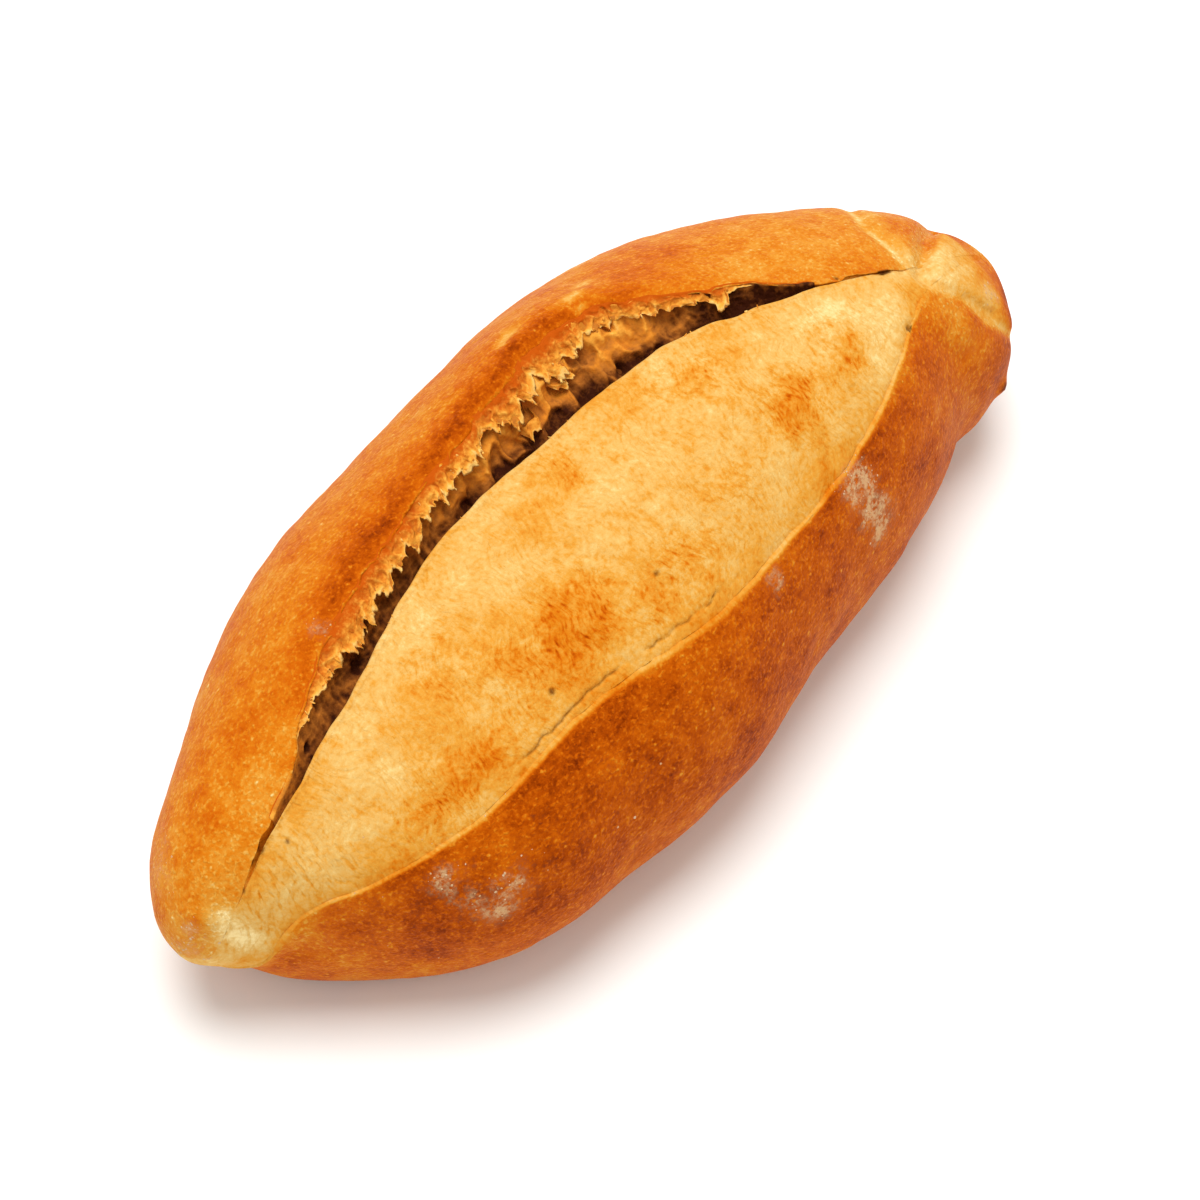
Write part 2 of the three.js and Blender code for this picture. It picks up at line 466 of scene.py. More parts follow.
class Channel:
    """One shader value, which can stand in sums, differences and products."""

    def __init__(self, sheet: "NodeSheet", socket: bpy.types.NodeSocket) -> None:
        """Keep the socket and the sheet that adds nodes for it."""
        self.sheet = sheet
        self.socket = socket

    def _math(self, operation: str, first: "Operand", second: "Operand") -> "Channel":
        """Add a Math node of two values."""
        return self.sheet.add("ShaderNodeMath", {"operation": operation}, {0: first, 1: second})

    def __add__(self, other: "Operand") -> "Channel":
        """This plus other."""
        return self._math("ADD", self, other)

    __radd__ = __add__

    def __sub__(self, other: "Operand") -> "Channel":
        """This minus other."""
        return self._math("SUBTRACT", self, other)

    def __rsub__(self, other: "Operand") -> "Channel":
        """Other minus this."""
        return self._math("SUBTRACT", other, self)

    def __mul__(self, other: "Operand") -> "Channel":
        """This times other."""
        return self._math("MULTIPLY", self, other)

    __rmul__ = __mul__


Operand = Union[Channel, float, tuple]


def linear(colour: Colour) -> tuple[float, float, float, float]:
    """A colour as a shader takes it, by the standard curve between screen values and light.

    A share s of full brightness becomes s / 12.92 up to 0.04045, and ((s + 0.055) / 1.055)^2.4 above.

    Args:
        colour: screen values from 0 to 255.

    Returns:
        Linear values from 0 to 1, and full cover.
    """
    shares = [part / 255.0 for part in colour]
    made = [s / 12.92 if s <= 0.04045 else ((s + 0.055) / 1.055) ** 2.4 for s in shares]
    return (made[0], made[1], made[2], 1.0)


@dataclass(frozen=True)
class Grain:
    """Shader noise: the size of its features in millimetres, how fine and how rough it is, and its curl."""

    size: float
    detail: float = 2.0
    roughness: float = 0.5
    curl: float = 0.0


class NodeSheet:
    """The node tree of one material."""

    def __init__(self, name: str) -> None:
        """Make a material with an empty node tree.

        Args:
            name: name of the material.
        """
        self.material = bpy.data.materials.new(name)
        self.material.use_nodes = True
        self.tree = self.material.node_tree
        self.tree.nodes.clear()

    def add(
        self, kind: str, settings: dict[str, Any], inputs: dict[Any, Operand], output: Any = 0
    ) -> Channel:
        """Add a node.

        Args:
            kind: the node's type.
            settings: its properties, set first; "stops" holds a colour ramp's (place, colour) pairs.
            inputs: values or channels by socket number or name.
            output: number or name of the output that is wanted.

        Returns:
            That output as a channel.
        """
        node = self.tree.nodes.new(kind)
        for title, value in settings.items():
            if title == "stops":
                self._set_stops(node.color_ramp, value)
            else:
                setattr(node, title, value)
        for key, value in inputs.items():
            if isinstance(value, Channel):
                self.tree.links.new(value.socket, node.inputs[key])
            else:
                node.inputs[key].default_value = value
        return Channel(self, node.outputs[output])

    @staticmethod
    def _set_stops(ramp: bpy.types.ColorRamp, stops: list[tuple[float, Any]]) -> None:
        """Give a colour ramp its stops.

        Args:
            ramp: the ramp, with its two first stops.
            stops: (place, colour) pairs in rising order.
        """
        while len(ramp.elements) < len(stops):
            ramp.elements.new(0.5)
        for element, (place, colour) in zip(ramp.elements, stops):
            element.position = place
            element.color = colour

    def value(self, title: str) -> Channel:
        """A value that the piece's vertices carry."""
        return self.add("ShaderNodeAttribute", {"attribute_name": title}, {}, "Fac")

    def places(self) -> Channel:
        """Places on the piece, in metres."""
        return self.add("ShaderNodeTexCoord", {}, {}, "Object")

    def grain(self, places: Channel, grain: Grain) -> Channel:
        """Noise, about 0.5 on average.

        Args:
            places: where it is read, in metres.
            grain: its size and kind.

        Returns:
            The noise.
        """
        inputs = {"Vector": places, "Scale": 1.0 / (grain.size * METRES), "Detail": grain.detail}
        inputs.update({"Roughness": grain.roughness, "Distortion": grain.curl})
        return self.add("ShaderNodeTexNoise", {}, inputs, "Fac")

    def swing(self, places: Channel, grain: Grain) -> Channel:
        """Noise, about 0 on average."""
        return self.grain(places, grain) - 0.5

    def step(self, value: Channel, low: float, high: float) -> Channel:
        """A soft step from 0 at low to 1 at high."""
        settings = {"interpolation_type": "SMOOTHSTEP"}
        return self.add("ShaderNodeMapRange", settings, {"Value": value, "From Min": low, "From Max": high})

    def blend(self, share: Operand, first: Operand, second: Operand) -> Channel:
        """A mix of two colours."""
        inputs = {MIX_SHARE: share, MIX_FIRST: first, MIX_SECOND: second}
        return self.add("ShaderNodeMix", {"data_type": "RGBA"}, inputs, MIXED_COLOUR)

    def ramp(self, share: Channel, colours: Stops) -> Channel:
        """A colour ramp through (place, colour) pairs."""
        stops = [(place, linear(colour)) for place, colour in colours]
        return self.add("ShaderNodeValToRGB", {"stops": stops}, {"Fac": share})

    def bump(self, height: Channel, depth: float, strength: float) -> Channel:
        """A bump of a depth in millimetres."""
        inputs = {"Height": height, "Distance": depth * METRES, "Strength": strength}
        return self.add("ShaderNodeBump", {}, inputs)

    def finish(
        self, colour: Operand, roughness: Operand, specular: float, more: dict[Any, Operand]
    ) -> Material:
        """Close the tree with a Principled shader.

        Args:
            colour: its base colour.
            roughness: its roughness.
            specular: how strong its sheen is.
            more: values or channels for other sockets.

        Returns:
            The finished material.
        """
        inputs = {"Base Color": colour, "Roughness": roughness, "Specular IOR Level": specular, **more}
        shader = self.add("ShaderNodeBsdfPrincipled", {}, inputs, "BSDF")
        output = self.tree.nodes.new("ShaderNodeOutputMaterial")
        self.tree.links.new(shader.socket, output.inputs["Surface"])
        return self.material


# Finishes


@dataclass(frozen=True)
class Effect:
    """What a feature of the crust adds where it is full to the bake level, the height and the roughness."""

    bake: float = 0.0
    height: float = 0.0
    roughness: float = 0.0


@dataclass(frozen=True)
class CrustFinish:
    """Baked crust: colour by bake level, with toasted patches, fibres, pale dots, flour, char and painted
    shade.

    The bake of a noise is its share on plain crust and what blistered crust adds to that. A fleck layer is
    a lean, a width and a length; a dot layer is a spacing, a reach as a share of it, and a strength.
    """

    bake_colours: Stops = (
        (0.0, (246, 216, 154)), (0.16, (223, 177, 102)), (0.32, (217, 149, 55)),
        (0.48, (209, 119, 21)), (0.62, (196, 91, 6)), (0.76, (168, 68, 2)),
        (0.89, (122, 41, 1)), (1.0, (72, 21, 1)),
    )
    # One dark colour paints burnt specks and the painted shade in the gap, the crack and the closed slit
    char_and_shade_colour: Colour = (84, 34, 10)
    flour_colour: Colour = (228, 188, 138)
    sheen_tint: Colour = (255, 190, 120)
    specular: float = 0.03
    roughness: float = 0.48
    bump_depth: float = 0.4
    bump_strength: float = 0.6
    mottle_grain: Grain = Grain(4.2, 4.0, 0.62)
    patch_grain: Grain = Grain(1.7)
    fine_grain: Grain = Grain(0.75, 3.0, 0.7)
    speckle_grain: Grain = Grain(0.6, 1.5)
    bend_grain: Grain = Grain(9.0, 1.0)
    fleck_grain: Grain = Grain(1.0, 1.2, 0.5, 0.35)
    wrinkle_grain: Grain = Grain(1.0, 1.0, 0.5, 0.2)
    mottle_bake: Pair = (0.18, 0.16)
    patch_bake: Pair = (0.12, 0.1)
    fine_bake: Pair = (0.34, 0.06)
    fine: Effect = Effect(height=0.9, roughness=0.2)
    flecks: Effect = Effect(bake=0.09, height=-0.25)
    dots: Effect = Effect(bake=-0.27, height=0.5)
    speckles: Effect = Effect(bake=-0.16, height=0.4)
    wrinkles: Effect = Effect(bake=0.2, height=-0.6)
    flour: Effect = Effect(height=0.4, roughness=0.25)
    fibres: Effect = Effect(roughness=0.26)
    toast: Effect = Effect(bake=0.16)
    toasted_fleck_bake: float = 0.15
    toast_by_mottle: float = 1.5
    toast_by_fine: float = 0.6
    flour_by_fine: float = 4.6
    flour_by_patch: float = 2.0
    char_and_shade_by_fine: float = 0.4
    dot_by_fine: float = 0.3
    flour_cover: float = 0.66
    char_and_shade_cover: float = 0.85
    speckle_range: Range = (0.48, 0.75)
    toast_range: Range = (0.1, 1.1)
    flour_range: Range = (0.1, 1.4)
    char_and_shade_range: Range = (0.15, 0.85)
    fleck_range: Range = (0.47, 0.76)
    wrinkle_range: Range = (0.52, 0.7)
    chance_range: Range = (0.35, 1.0)
    bend_reach: float = 8.0
    fleck_strength: float = 0.75
    fleck_layers: tuple[Triple, ...] = ((0.1, 0.75, 2.0), (-0.2, 0.6, 1.5))
    wrinkle_size: Pair = (0.6, 3.0)
    dot_layers: tuple[Triple, ...] = ((2.0, 0.2, 1.0), (1.1, 0.27, 0.75))
    dot_core: float = 0.25

    def material(self) -> Material:
        """Build the material.

        Returns:
            Crust whose colour follows the bake level that the vertices carry.
        """
        sheet = NodeSheet("crust")
        places = sheet.places()
        fibre = sheet.value("fibre")
        skin = sheet.value("blister")
        mottle = sheet.swing(places, self.mottle_grain)
        fine = sheet.swing(places, self.fine_grain)
        patch = sheet.swing(places, self.patch_grain)
        flecks = self._flecks(sheet, places)
        speckles = sheet.step(sheet.grain(places, self.speckle_grain), *self.speckle_range) * skin
        dots = self._dots(sheet, places, fine) * skin
        wrinkles = self._wrinkles(sheet, places) * sheet.value("wrinkle")
        toasted = sheet.value("toast") + mottle * self.toast_by_mottle + fine * self.toast_by_fine
        toast = sheet.step(toasted, *self.toast_range)
        dusted = sheet.value("flour") * (1.0 + fine * self.flour_by_fine + patch * self.flour_by_patch)
        flour = sheet.step(dusted, *self.flour_range)
        # Char and painted shade, mixed in below as one dark colour
        char_and_shade = sheet.step(sheet.value("char_and_shade") + fine * self.char_and_shade_by_fine, *self.char_and_shade_range)
        level = sheet.value("bake")
        bakes = ((mottle, self.mottle_bake), (patch, self.patch_bake), (fine, self.fine_bake))
        for part, (plain, blistered) in bakes:
            level = level + part * (plain + blistered * skin)
        golden = flecks * (self.flecks.bake + toast * self.toasted_fleck_bake) + toast * self.toast.bake
        level = level + fibre * golden + dots * self.dots.bake + speckles * self.speckles.bake
        colour = sheet.ramp(level + wrinkles * self.wrinkles.bake, self.bake_colours)
        colour = sheet.blend(flour * self.flour_cover, colour, linear(self.flour_colour))
        colour = sheet.blend(char_and_shade * self.char_and_shade_cover, colour, linear(self.char_and_shade_colour))
        height = fine * self.fine.height + flecks * fibre * self.flecks.height
        height = height + wrinkles * self.wrinkles.height + dots * self.dots.height
        height = height + speckles * self.speckles.height + flour * self.flour.height
        roughness = self.roughness + fibre * self.fibres.roughness + flour * self.flour.roughness
        roughness = roughness + fine * self.fine.roughness
        normal = sheet.bump(height, self.bump_depth, self.bump_strength)
        more = {"Specular Tint": linear(self.sheen_tint), "Normal": normal}
        return sheet.finish(colour, roughness, self.specular, more)

    def _flecks(self, sheet: NodeSheet, places: Channel) -> Channel:
        """Short golden flecks across the belly: the peaks of curled noise drawn out round the section.

        Args:
            sheet: the material's nodes.
            places: places on the piece.

        Returns:
            How strong a fleck is.
        """
        along = sheet.add("ShaderNodeSeparateXYZ", {}, {0: places}, "X")
        across = sheet.value("across")
        bend = sheet.swing(places, self.bend_grain) * (self.bend_reach * METRES)
        layers = []
        for lean, width, length in self.fleck_layers:
            u = (along + across * lean + bend) * (1.0 / width)
            v = (across - along * lean) * (1.0 / length)
            drawn = sheet.add("ShaderNodeCombineXYZ", {}, {0: u, 1: v, 2: lean})
            layers.append(sheet.step(sheet.grain(drawn, self.fleck_grain), *self.fleck_range))
        return (layers[0] + layers[1]) * self.fleck_strength

    def _wrinkles(self, sheet: NodeSheet, places: Channel) -> Channel:
        """Fine hatching across the crust: the peaks of noise drawn out round the section.

        Args:
            sheet: the material's nodes.
            places: places on the piece.

        Returns:
            How deep a wrinkle is.
        """
        width, length = self.wrinkle_size
        along = sheet.add("ShaderNodeSeparateXYZ", {}, {0: places}, "X") * (1.0 / width)
        across = sheet.value("across") * (1.0 / length)
        drawn = sheet.add("ShaderNodeCombineXYZ", {}, {0: along, 1: across})
        return sheet.step(sheet.grain(drawn, self.wrinkle_grain), *self.wrinkle_range)

    def _dots(self, sheet: NodeSheet, places: Channel, fine: Channel) -> Channel:
        """Small pale blisters: ragged spots of two sizes at random points, of which a share is left out.

        Args:
            sheet: the material's nodes.
            places: places on the piece.
            fine: fine noise, which makes the spots ragged.

        Returns:
            How strong a spot is.
        """
        layers = []
        for spacing, reach, strength in self.dot_layers:
            settings = {"feature": "F1"}
            inputs = {"Vector": places, "Scale": 1.0 / (spacing * METRES)}
            near = sheet.add("ShaderNodeTexVoronoi", settings, inputs, "Distance") + fine * self.dot_by_fine
            tint = sheet.add("ShaderNodeTexVoronoi", settings, inputs, "Color")
            chance = sheet.add("ShaderNodeSeparateColor", {}, {0: tint}, 0)
            spot = 1.0 - sheet.step(near, self.dot_core * reach, reach)
            layers.append(spot * sheet.step(chance, *self.chance_range) * strength)
        return layers[0] + layers[1]


@dataclass(frozen=True)
class CrumbFinish:
    """Torn crumb: gold at edges, baked beside the crust, painted shade of amber to dark brown where deep.
    """

    crumb_and_shade_colours: Stops = (
        (0.0, (246, 200, 116)), (0.2, (244, 170, 66)), (0.42, (216, 130, 38)),
        (0.62, (184, 110, 40)), (0.82, (122, 66, 22)), (1.0, (58, 22, 6)),
    )
    crust_colour: Colour = (192, 82, 6)
    fine_grain: Grain = Grain(0.55, 3.0, 0.6)
    patch_grain: Grain = Grain(2.6, 3.0, 0.6)
    fine_depth: float = 0.3
    patch_depth: float = 0.3
    crust_by_fine: float = 0.8
    crust_by_patch: float = 0.5
    crust_range: Range = (0.2, 0.8)
    roughness: float = 0.8
    fine_roughness: float = 0.2
    specular: float = 0.06
    bump_depth: float = 0.4
    bump_strength: float = 0.5

    def material(self) -> Material:
        """Build the material.

        Returns:
            Crumb whose colour follows the depth that the vertices carry, darker as painted shade where
            deep.
        """
        sheet = NodeSheet("torn_crumb")
        places = sheet.places()
        fine = sheet.swing(places, self.fine_grain)
        patch = sheet.swing(places, self.patch_grain)
        # A higher depth is painted darker, as shade
        level = sheet.value("depth") + patch * self.patch_depth + fine * self.fine_depth
        crusted = sheet.value("crust") + fine * self.crust_by_fine + patch * self.crust_by_patch
        crust = sheet.step(crusted, *self.crust_range)
        colour = sheet.blend(crust, sheet.ramp(level, self.crumb_and_shade_colours), linear(self.crust_colour))
        roughness = self.roughness + fine * self.fine_roughness
        normal = sheet.bump(fine, self.bump_depth, self.bump_strength)
        return sheet.finish(colour, roughness, self.specular, {"Normal": normal})


@dataclass(frozen=True)
class FlourFinish:
    """Dusting flour: dry, matt, off-white, browned a little flake by flake."""

    pale: Colour = (214, 182, 148)
    toasted: Colour = (204, 150, 98)
    grain: Grain = Grain(1.6)
    toast_range: Range = (0.3, 0.7)
    roughness: float = 0.95
    toasted_roughness: float = -0.1
    specular: float = 0.05

    def material(self) -> Material:
        """Build the material.

        Returns:
            Flour whose colour follows noise.
        """
        sheet = NodeSheet("flour")
        toast = sheet.step(sheet.grain(sheet.places(), self.grain), *self.toast_range)
        colour = sheet.blend(toast, linear(self.pale), linear(self.toasted))
        return sheet.finish(colour, self.roughness + toast * self.toasted_roughness, self.specular, {})


@dataclass(frozen=True)
class FloorFinish:
    """A plain white studio floor with a faint paper grain."""

    white: Colour = (250, 250, 249)
    shade: Colour = (247, 246, 244)
    grain: Grain = Grain(60.0)
    roughness: float = 0.9
    specular: float = 0.0

    def material(self) -> Material:
        """Build the material.

        Returns:
            White whose shade follows noise.
        """
        sheet = NodeSheet("studio_floor")
        cloud = sheet.grain(sheet.places(), self.grain)
        colour = sheet.blend(cloud, linear(self.white), linear(self.shade))
        return sheet.finish(colour, self.roughness, self.specular, {})


# The form of the loaf


@dataclass(frozen=True)
class Section:
    """The sizes of the section at each station. Every field is an array in the stations' shape."""

    station: Array
    x: Array
    left: Array
    right: Array
    rise: Array
    drop: Array
    relief: Array
    under: Array
    ridge: Array
    edge: Array
    brow: Array
    lip: Array
    depth: Array
    ear_rise: Array
    torn: Array

    def in_space(self, flat: Array) -> Array:
        """Points of the sections, given as (y, z), as points in space."""
        x = np.broadcast_to(self.x, flat.shape[:2])
        return np.concatenate([x[..., None], flat], axis=-1)


@dataclass(frozen=True)
class Groove:
    """A line pressed into the crust: a path of (station, angle) points, and its depth and width."""

    path: Knots
    depth: float
    width: float


@dataclass(frozen=True)
class LoafForm:
    """The plain form: strokes round a section, worked out as the solid's are, without its teeth.

    A stroke takes the section's sizes and shares of the way along it, and gives points as (y, z).
    """

    half_length: float = 85.0
    tip_height: float = 20.0
    crown_rise: float = 32.0
    ear_lift: float = 5.0
    ridge_rise: float = 0.2
    crease_depth: float = 0.08
    base_round: float = 2.5
    swell_height: float = 0.12
    deepest_gap: float = 11.5
    widest_gap_angle: float = 19.5
    swell_length: float = 8.0
    fullness: float = 0.94
    top_taper: float = 0.92
    flat_share: float = 0.66
    relief_fade_rise: float = 12.0
    crease_angle: float = 0.7
    edge_spread: float = 0.1
    rim_start: float = 0.35
    rim_spread: float = 0.05
    rim_crowding: float = 1.3
    edge_roll: float = 0.05
    brow_roll: float = 0.12
    brow_lean: float = 0.2
    gap_floor_share: float = 0.32
    torn_foot: float = 0.25
    torn_lean: float = 0.1
    quick_swell_share: float = 0.6
    brow_noise: Noise = Noise(4.0, 2, 83, 0.25)
    gap_noise: Noise = Noise(2.6, 2, 87, 0.04)
    bead_noise: Noise = Noise(1.5, 1, 91, 0.7)
    ridge_noise: Noise = Noise(3.5, 2, 89, 0.25)
    swell_sway: float = 2.0
    swell_lobes: float = 2.0
    quick_swell_pace: float = 2.0
    quick_swell_turns: float = 3.0
    edge_reach: float = 0.5
    crease_reach: float = 0.25
    edge_fall: float = 0.5
    brow_drop: float = 0.5
    torn_rise: float = 0.5
    left_half_width: Knots = (
        (-1, 30.3), (-0.9, 31.1), (-0.8, 31.5), (-0.55, 37.4), (-0.2, 37.9), (0.1, 40.2), (0.4, 43.2),
        (0.6, 41.4), (0.7, 38.6), (0.8, 34.9), (0.9, 31), (1, 24),
    )
    right_half_width: Knots = (
        (-1, 16.4), (-0.9, 21.9), (-0.8, 29.9), (-0.65, 39), (-0.5, 40), (-0.35, 37.7), (-0.2, 37.2),
        (-0.05, 36), (0.1, 32.6), (0.25, 30.8), (0.4, 30.2), (0.55, 29.2), (0.7, 26.6), (0.8, 30.4),
        (0.88, 33), (0.95, 30.3), (1, 26.6),
    )
    ridge_angle: Knots = (
        (-1, -84), (-0.95, -62), (-0.905, -12), (-0.865, 18), (-0.75, 36), (-0.5, 46.5), (-0.3, 48.5),
        (0.1, 42), (0.3, 42), (0.45, 48), (0.6, 57), (0.75, 67), (1, 70),
    )
    ridge_strength: Knots = ((-1, 1.4), (-0.8, 1.4), (-0.6, 1), (0.66, 1), (0.78, 0), (1, 0))
    brow_angle: Knots = (
        (-1, -20), (-0.967, 2), (-0.936, 33), (-0.906, 48.5), (-0.85, 67.8), (-0.8, 76), (-0.75, 80.2),
        (-0.66, 86.2), (-0.56, 89.4), (-0.45, 94.5), (-0.3, 99.3), (-0.1, 100), (0.25, 98.8), (0.33, 97.2),
        (0.4, 95), (0.45, 93.5), (0.52, 91.5), (0.6, 88), (0.68, 82), (0.75, 77.5), (1, 74),
    )
    gap_angle: Knots = (
        (-1, 1.4), (-0.93, 1.6), (-0.88, 2.3), (-0.8, 3.3), (-0.74, 4.8), (-0.66, 8.8), (-0.58, 12.2),
        (-0.45, 11.5), (-0.3, 11), (-0.14, 14.5), (0, 17.5), (0.13, 19.5), (0.22, 17.8), (0.33, 11.4),
        (0.4, 8.9), (0.45, 7.2), (0.5, 3.9), (0.53, 1.9), (0.56, 0.9), (0.62, 0.8), (0.7, 0.8), (1, 0.8),
    )
    gap_depth: Knots = (
        (-1, 0), (-0.93, 0), (-0.8, 1.8), (-0.6, 5.5), (-0.3, 7.5), (0, 11.5), (0.2, 10), (0.4, 5.5),
        (0.48, 3.2), (0.54, 1.2), (0.6, 0.6), (0.68, 0.5), (0.76, 0), (1, 0),
    )
    rise_share: Knots = (
        (-1, 1), (0, 1), (0.45, 1), (0.62, 1), (0.7, 0.98), (0.8, 0.96), (0.88, 0.86), (0.95, 0.64),
        (1, 0.54),
    )
    drop_share: Knots = ((-1, 0.76), (-0.93, 0.73), (-0.86, 1.12), (-0.76, 1.25), (-0.6, 1.25), (1, 1.25))
    torn_share: Knots = ((-1, 0), (-0.8, 0), (-0.74, 0.3), (-0.6, 1), (0.42, 1), (0.54, 0), (1, 0))
    end_folds: tuple[Groove, ...] = (
        Groove(((0.705, 79), (0.726, 83), (0.747, 105), (0.79, 125), (0.833, 144)), 0.6, 1.2),
        Groove(((0.735, 74), (0.747, 76), (0.805, 86.5), (0.85, 95), (0.893, 103), (0.94, 125)), 1.9, 1.6),
        Groove(((0.74, 68), (0.767, 58), (0.806, 43), (0.857, 21), (0.91, -10)), 0.8, 1.4),
    )

    def section(self, stations: Array) -> Section:
        """Work out the section's sizes.

        The half widths and the rise shrink towards the tips as the root of 1 - station^2, and the
        underside lifts along a quarter circle past the flat part of the base. Noise along the loaf frays
        the ridge, the brow and the lip.

        Args:
            stations: places along the loaf.

        Returns:
            The sizes at each station.
        """
        spindle = np.sqrt(np.maximum(1.0 - stations**2, 0.0))
        past_flat = np.clip((np.abs(stations) - self.flat_share) / (1.0 - self.flat_share), 0.0, 1.0)
        rise = self.crown_rise * spindle**self.top_taper * curve_through(self.rise_share, stations)
        under = self.tip_height * (1.0 - np.sqrt(1.0 - past_flat**2))
        relief = np.minimum(1.0, rise / self.relief_fade_rise)
        depth = np.maximum(0.0, curve_through(self.gap_depth, stations))
        gap = curve_through(self.gap_angle, stations)
        line = on_axis(self.half_length * stations)
        ridge = curve_through(self.ridge_angle, stations) + self.ridge_noise.at(line)
        brow = curve_through(self.brow_angle, stations) + self.brow_noise.at(line)
        fray = gap * self.gap_noise.at(line) + self.bead_noise.at(line)
        return Section(
            station=stations,
            x=self.half_length * stations,
            left=curve_through(self.left_half_width, stations) * spindle,
            right=curve_through(self.right_half_width, stations) * spindle,
            rise=rise,
            drop=curve_through(self.drop_share, stations) * (self.tip_height - under),
            relief=relief,
            under=under,
            ridge=ridge,
            edge=relief * np.maximum(0.0, curve_through(self.ridge_strength, stations)),
            brow=brow,
            lip=brow + gap + fray,
            depth=depth,
            ear_rise=self.ear_lift * (depth / self.deepest_gap) * (gap / self.widest_gap_angle),
            torn=np.clip(curve_through(self.torn_share, stations), 0.0, 1.0),
        )

    def swell(self, x: Array, angle: Array) -> Array:
        """The slow unevenness of the skin: two sines along the loaf whose phase turns with the angle.

        Args:
            x: places along the loaf.
            angle: angles round the section in degrees.

        Returns:
            Heights.
        """
        turn = np.radians(angle)
        slow = np.sin(x / self.swell_length + self.swell_sway * np.sin(self.swell_lobes * turn))
        quick = np.sin(self.quick_swell_pace * x / self.swell_length - self.quick_swell_turns * turn)
        return self.swell_height * (slow + self.quick_swell_share * quick)

    def outline(self, section: Section, angle: Array, height: Any = 0.0) -> Array:
        """The plain section: four elliptic quarters, a little squared up, cut flat below.

        Args:
            section: its sizes.
            angle: angle round the section in degrees.
            height: how far to push the point straight out.

        Returns:
            Points as (y, z) on the last axis.
        """
        turn = np.radians(angle)
        out_y, out_z = -np.cos(turn), np.sin(turn)
        half_width = np.where(out_y > 0, section.left, section.right)
        half_height = np.where(out_z > 0, section.rise, section.drop)
        push = height + section.relief * self.swell(section.x, angle)
        y = half_width * np.sign(out_y) * np.abs(out_y) ** self.fullness + out_y * push
        z = self.tip_height + half_height * np.sign(out_z) * np.abs(out_z) ** self.fullness + out_z * push
        above = z - section.under
        rounded = (above + self.base_round) ** 2 / (4 * self.base_round)
        above = np.where(above >= self.base_round, above, np.where(above <= -self.base_round, 0.0, rounded))
        return np.stack(np.broadcast_arrays(y, section.under + above), axis=-1)

    def flap(self, section: Section, share: Array) -> Array:
        """The right flap, from the middle of the base to the ridge, raised there by a bell curve."""
        height = self.ridge_rise * section.edge * bell(1.0 - share, self.edge_spread)
        return self.outline(section, lerp(BASE_MIDDLE, section.ridge, share), height)

    def belly(self, section: Section, share: Array) -> Array:
        """The burst belly, from the crease, pressed in by a share that decays, to the brow of the gap."""
        height = -self.crease_depth * section.edge * np.exp(-share / self.edge_spread)
        return self.outline(section, lerp(section.ridge + self.crease_angle, section.brow, share), height)

    def edge(self, section: Section, share: Array) -> Array:
        """The ridge rolled over into the crease: a Bezier curve that lifts off the ridge, then drops.

        Args:
            section: its sizes.
            share: shares of the way.

        Returns:
            Points as (y, z).
        """
        ridge = self.flap(section, np.ones((1, 1)))
        crease = self.belly(section, np.zeros((1, 1)))
        across = crease - ridge
        turn = np.radians(section.ridge)
        lift = np.stack([-np.cos(turn), np.sin(turn)], axis=-1) * (self.edge_roll * section.edge)[..., None]
        first = ridge + self.edge_reach * across + lift
        second = crease - self.crease_reach * across + self.edge_fall * lift
        return bezier(ridge, first, second, crease, share)

    def ear(self, section: Section, share: Array) -> Array:
        """The ear, from the torn lip over its rounded rim and down to the left bulge."""
        angle = lerp(section.lip, LEFT_BULGE, share**self.rim_crowding)
        return self.outline(section, angle, self.ear_height(section, angle))

    def ear_height(self, section: Section, angle: Array) -> Array:
        """How far the ear stands off the plain section: most just past the lip, fading out to its bulge.

        Args:
            section: its sizes.
            angle: angles between the lip and the bulge.

        Returns:
            Its rise, times the square of the share left, rounded off at the lip.
        """
        share = (angle - section.lip) / (LEFT_BULGE - section.lip)
        rounded = 1.0 - (1.0 - self.rim_start) * np.exp(-share / self.rim_spread)
        return section.ear_rise * (1.0 - share) ** 2 * rounded

    def gap(self, section: Section) -> tuple[Array, Array, Array, Array]:
        """The gap's lines.

        Args:
            section: its sizes.

        Returns:
            Its brow, its lip, the width between them, and its floor, a share of the way from the brow to
            the lip and sunk by the gap's depth.
        """
        brow = self.belly(section, np.ones((1, 1)))
        lip = self.ear(section, np.zeros((1, 1)))
        floor = lerp(brow, lip, self.gap_floor_share)
        floor[..., 1] -= section.depth
        return brow, lip, lip[..., 0] - brow[..., 0], floor

    def brow(self, section: Section, share: Array) -> Array:
        """The belly's side of the gap: a Bezier curve that rolls over the brow and falls to the floor.

        Args:
            section: its sizes.
            share: shares of the way.

        Returns:
            Points as (y, z).
        """
        brow, _, width, floor = self.gap(section)
        onward = unit(brow - self.outline(section, section.brow - self.crease_angle))
        over = brow + onward * (self.brow_roll * width)[..., None]
        down_z = lerp(floor[..., 1], brow[..., 1], self.brow_drop)
        down = np.stack([floor[..., 0] - self.brow_lean * width, down_z], axis=-1)
        return bezier(brow, over, down, floor, share)

    def torn(self, section: Section, share: Array) -> Array:
        """The ear's side of the gap: a Bezier curve that climbs from the floor to the lip.

        Args:
            section: its sizes.
            share: shares of the way.

        Returns:
            Points as (y, z).
        """
        _, lip, width, floor = self.gap(section)
        out_z = lerp(floor[..., 1], lip[..., 1], self.torn_lean)
        out = np.stack([floor[..., 0] + self.torn_foot * width, out_z], axis=-1)
        up_z = lerp(floor[..., 1], lip[..., 1], self.torn_rise)
        up = np.stack([lip[..., 0] - self.torn_lean * width, up_z], axis=-1)
        return bezier(floor, out, up, lip, share)

    def left(self, section: Section, share: Array) -> Array:
        """The left side, from the bulge down and under to the middle of the base."""
        return self.outline(section, lerp(LEFT_BULGE, BASE_MIDDLE + FULL_TURN, share))

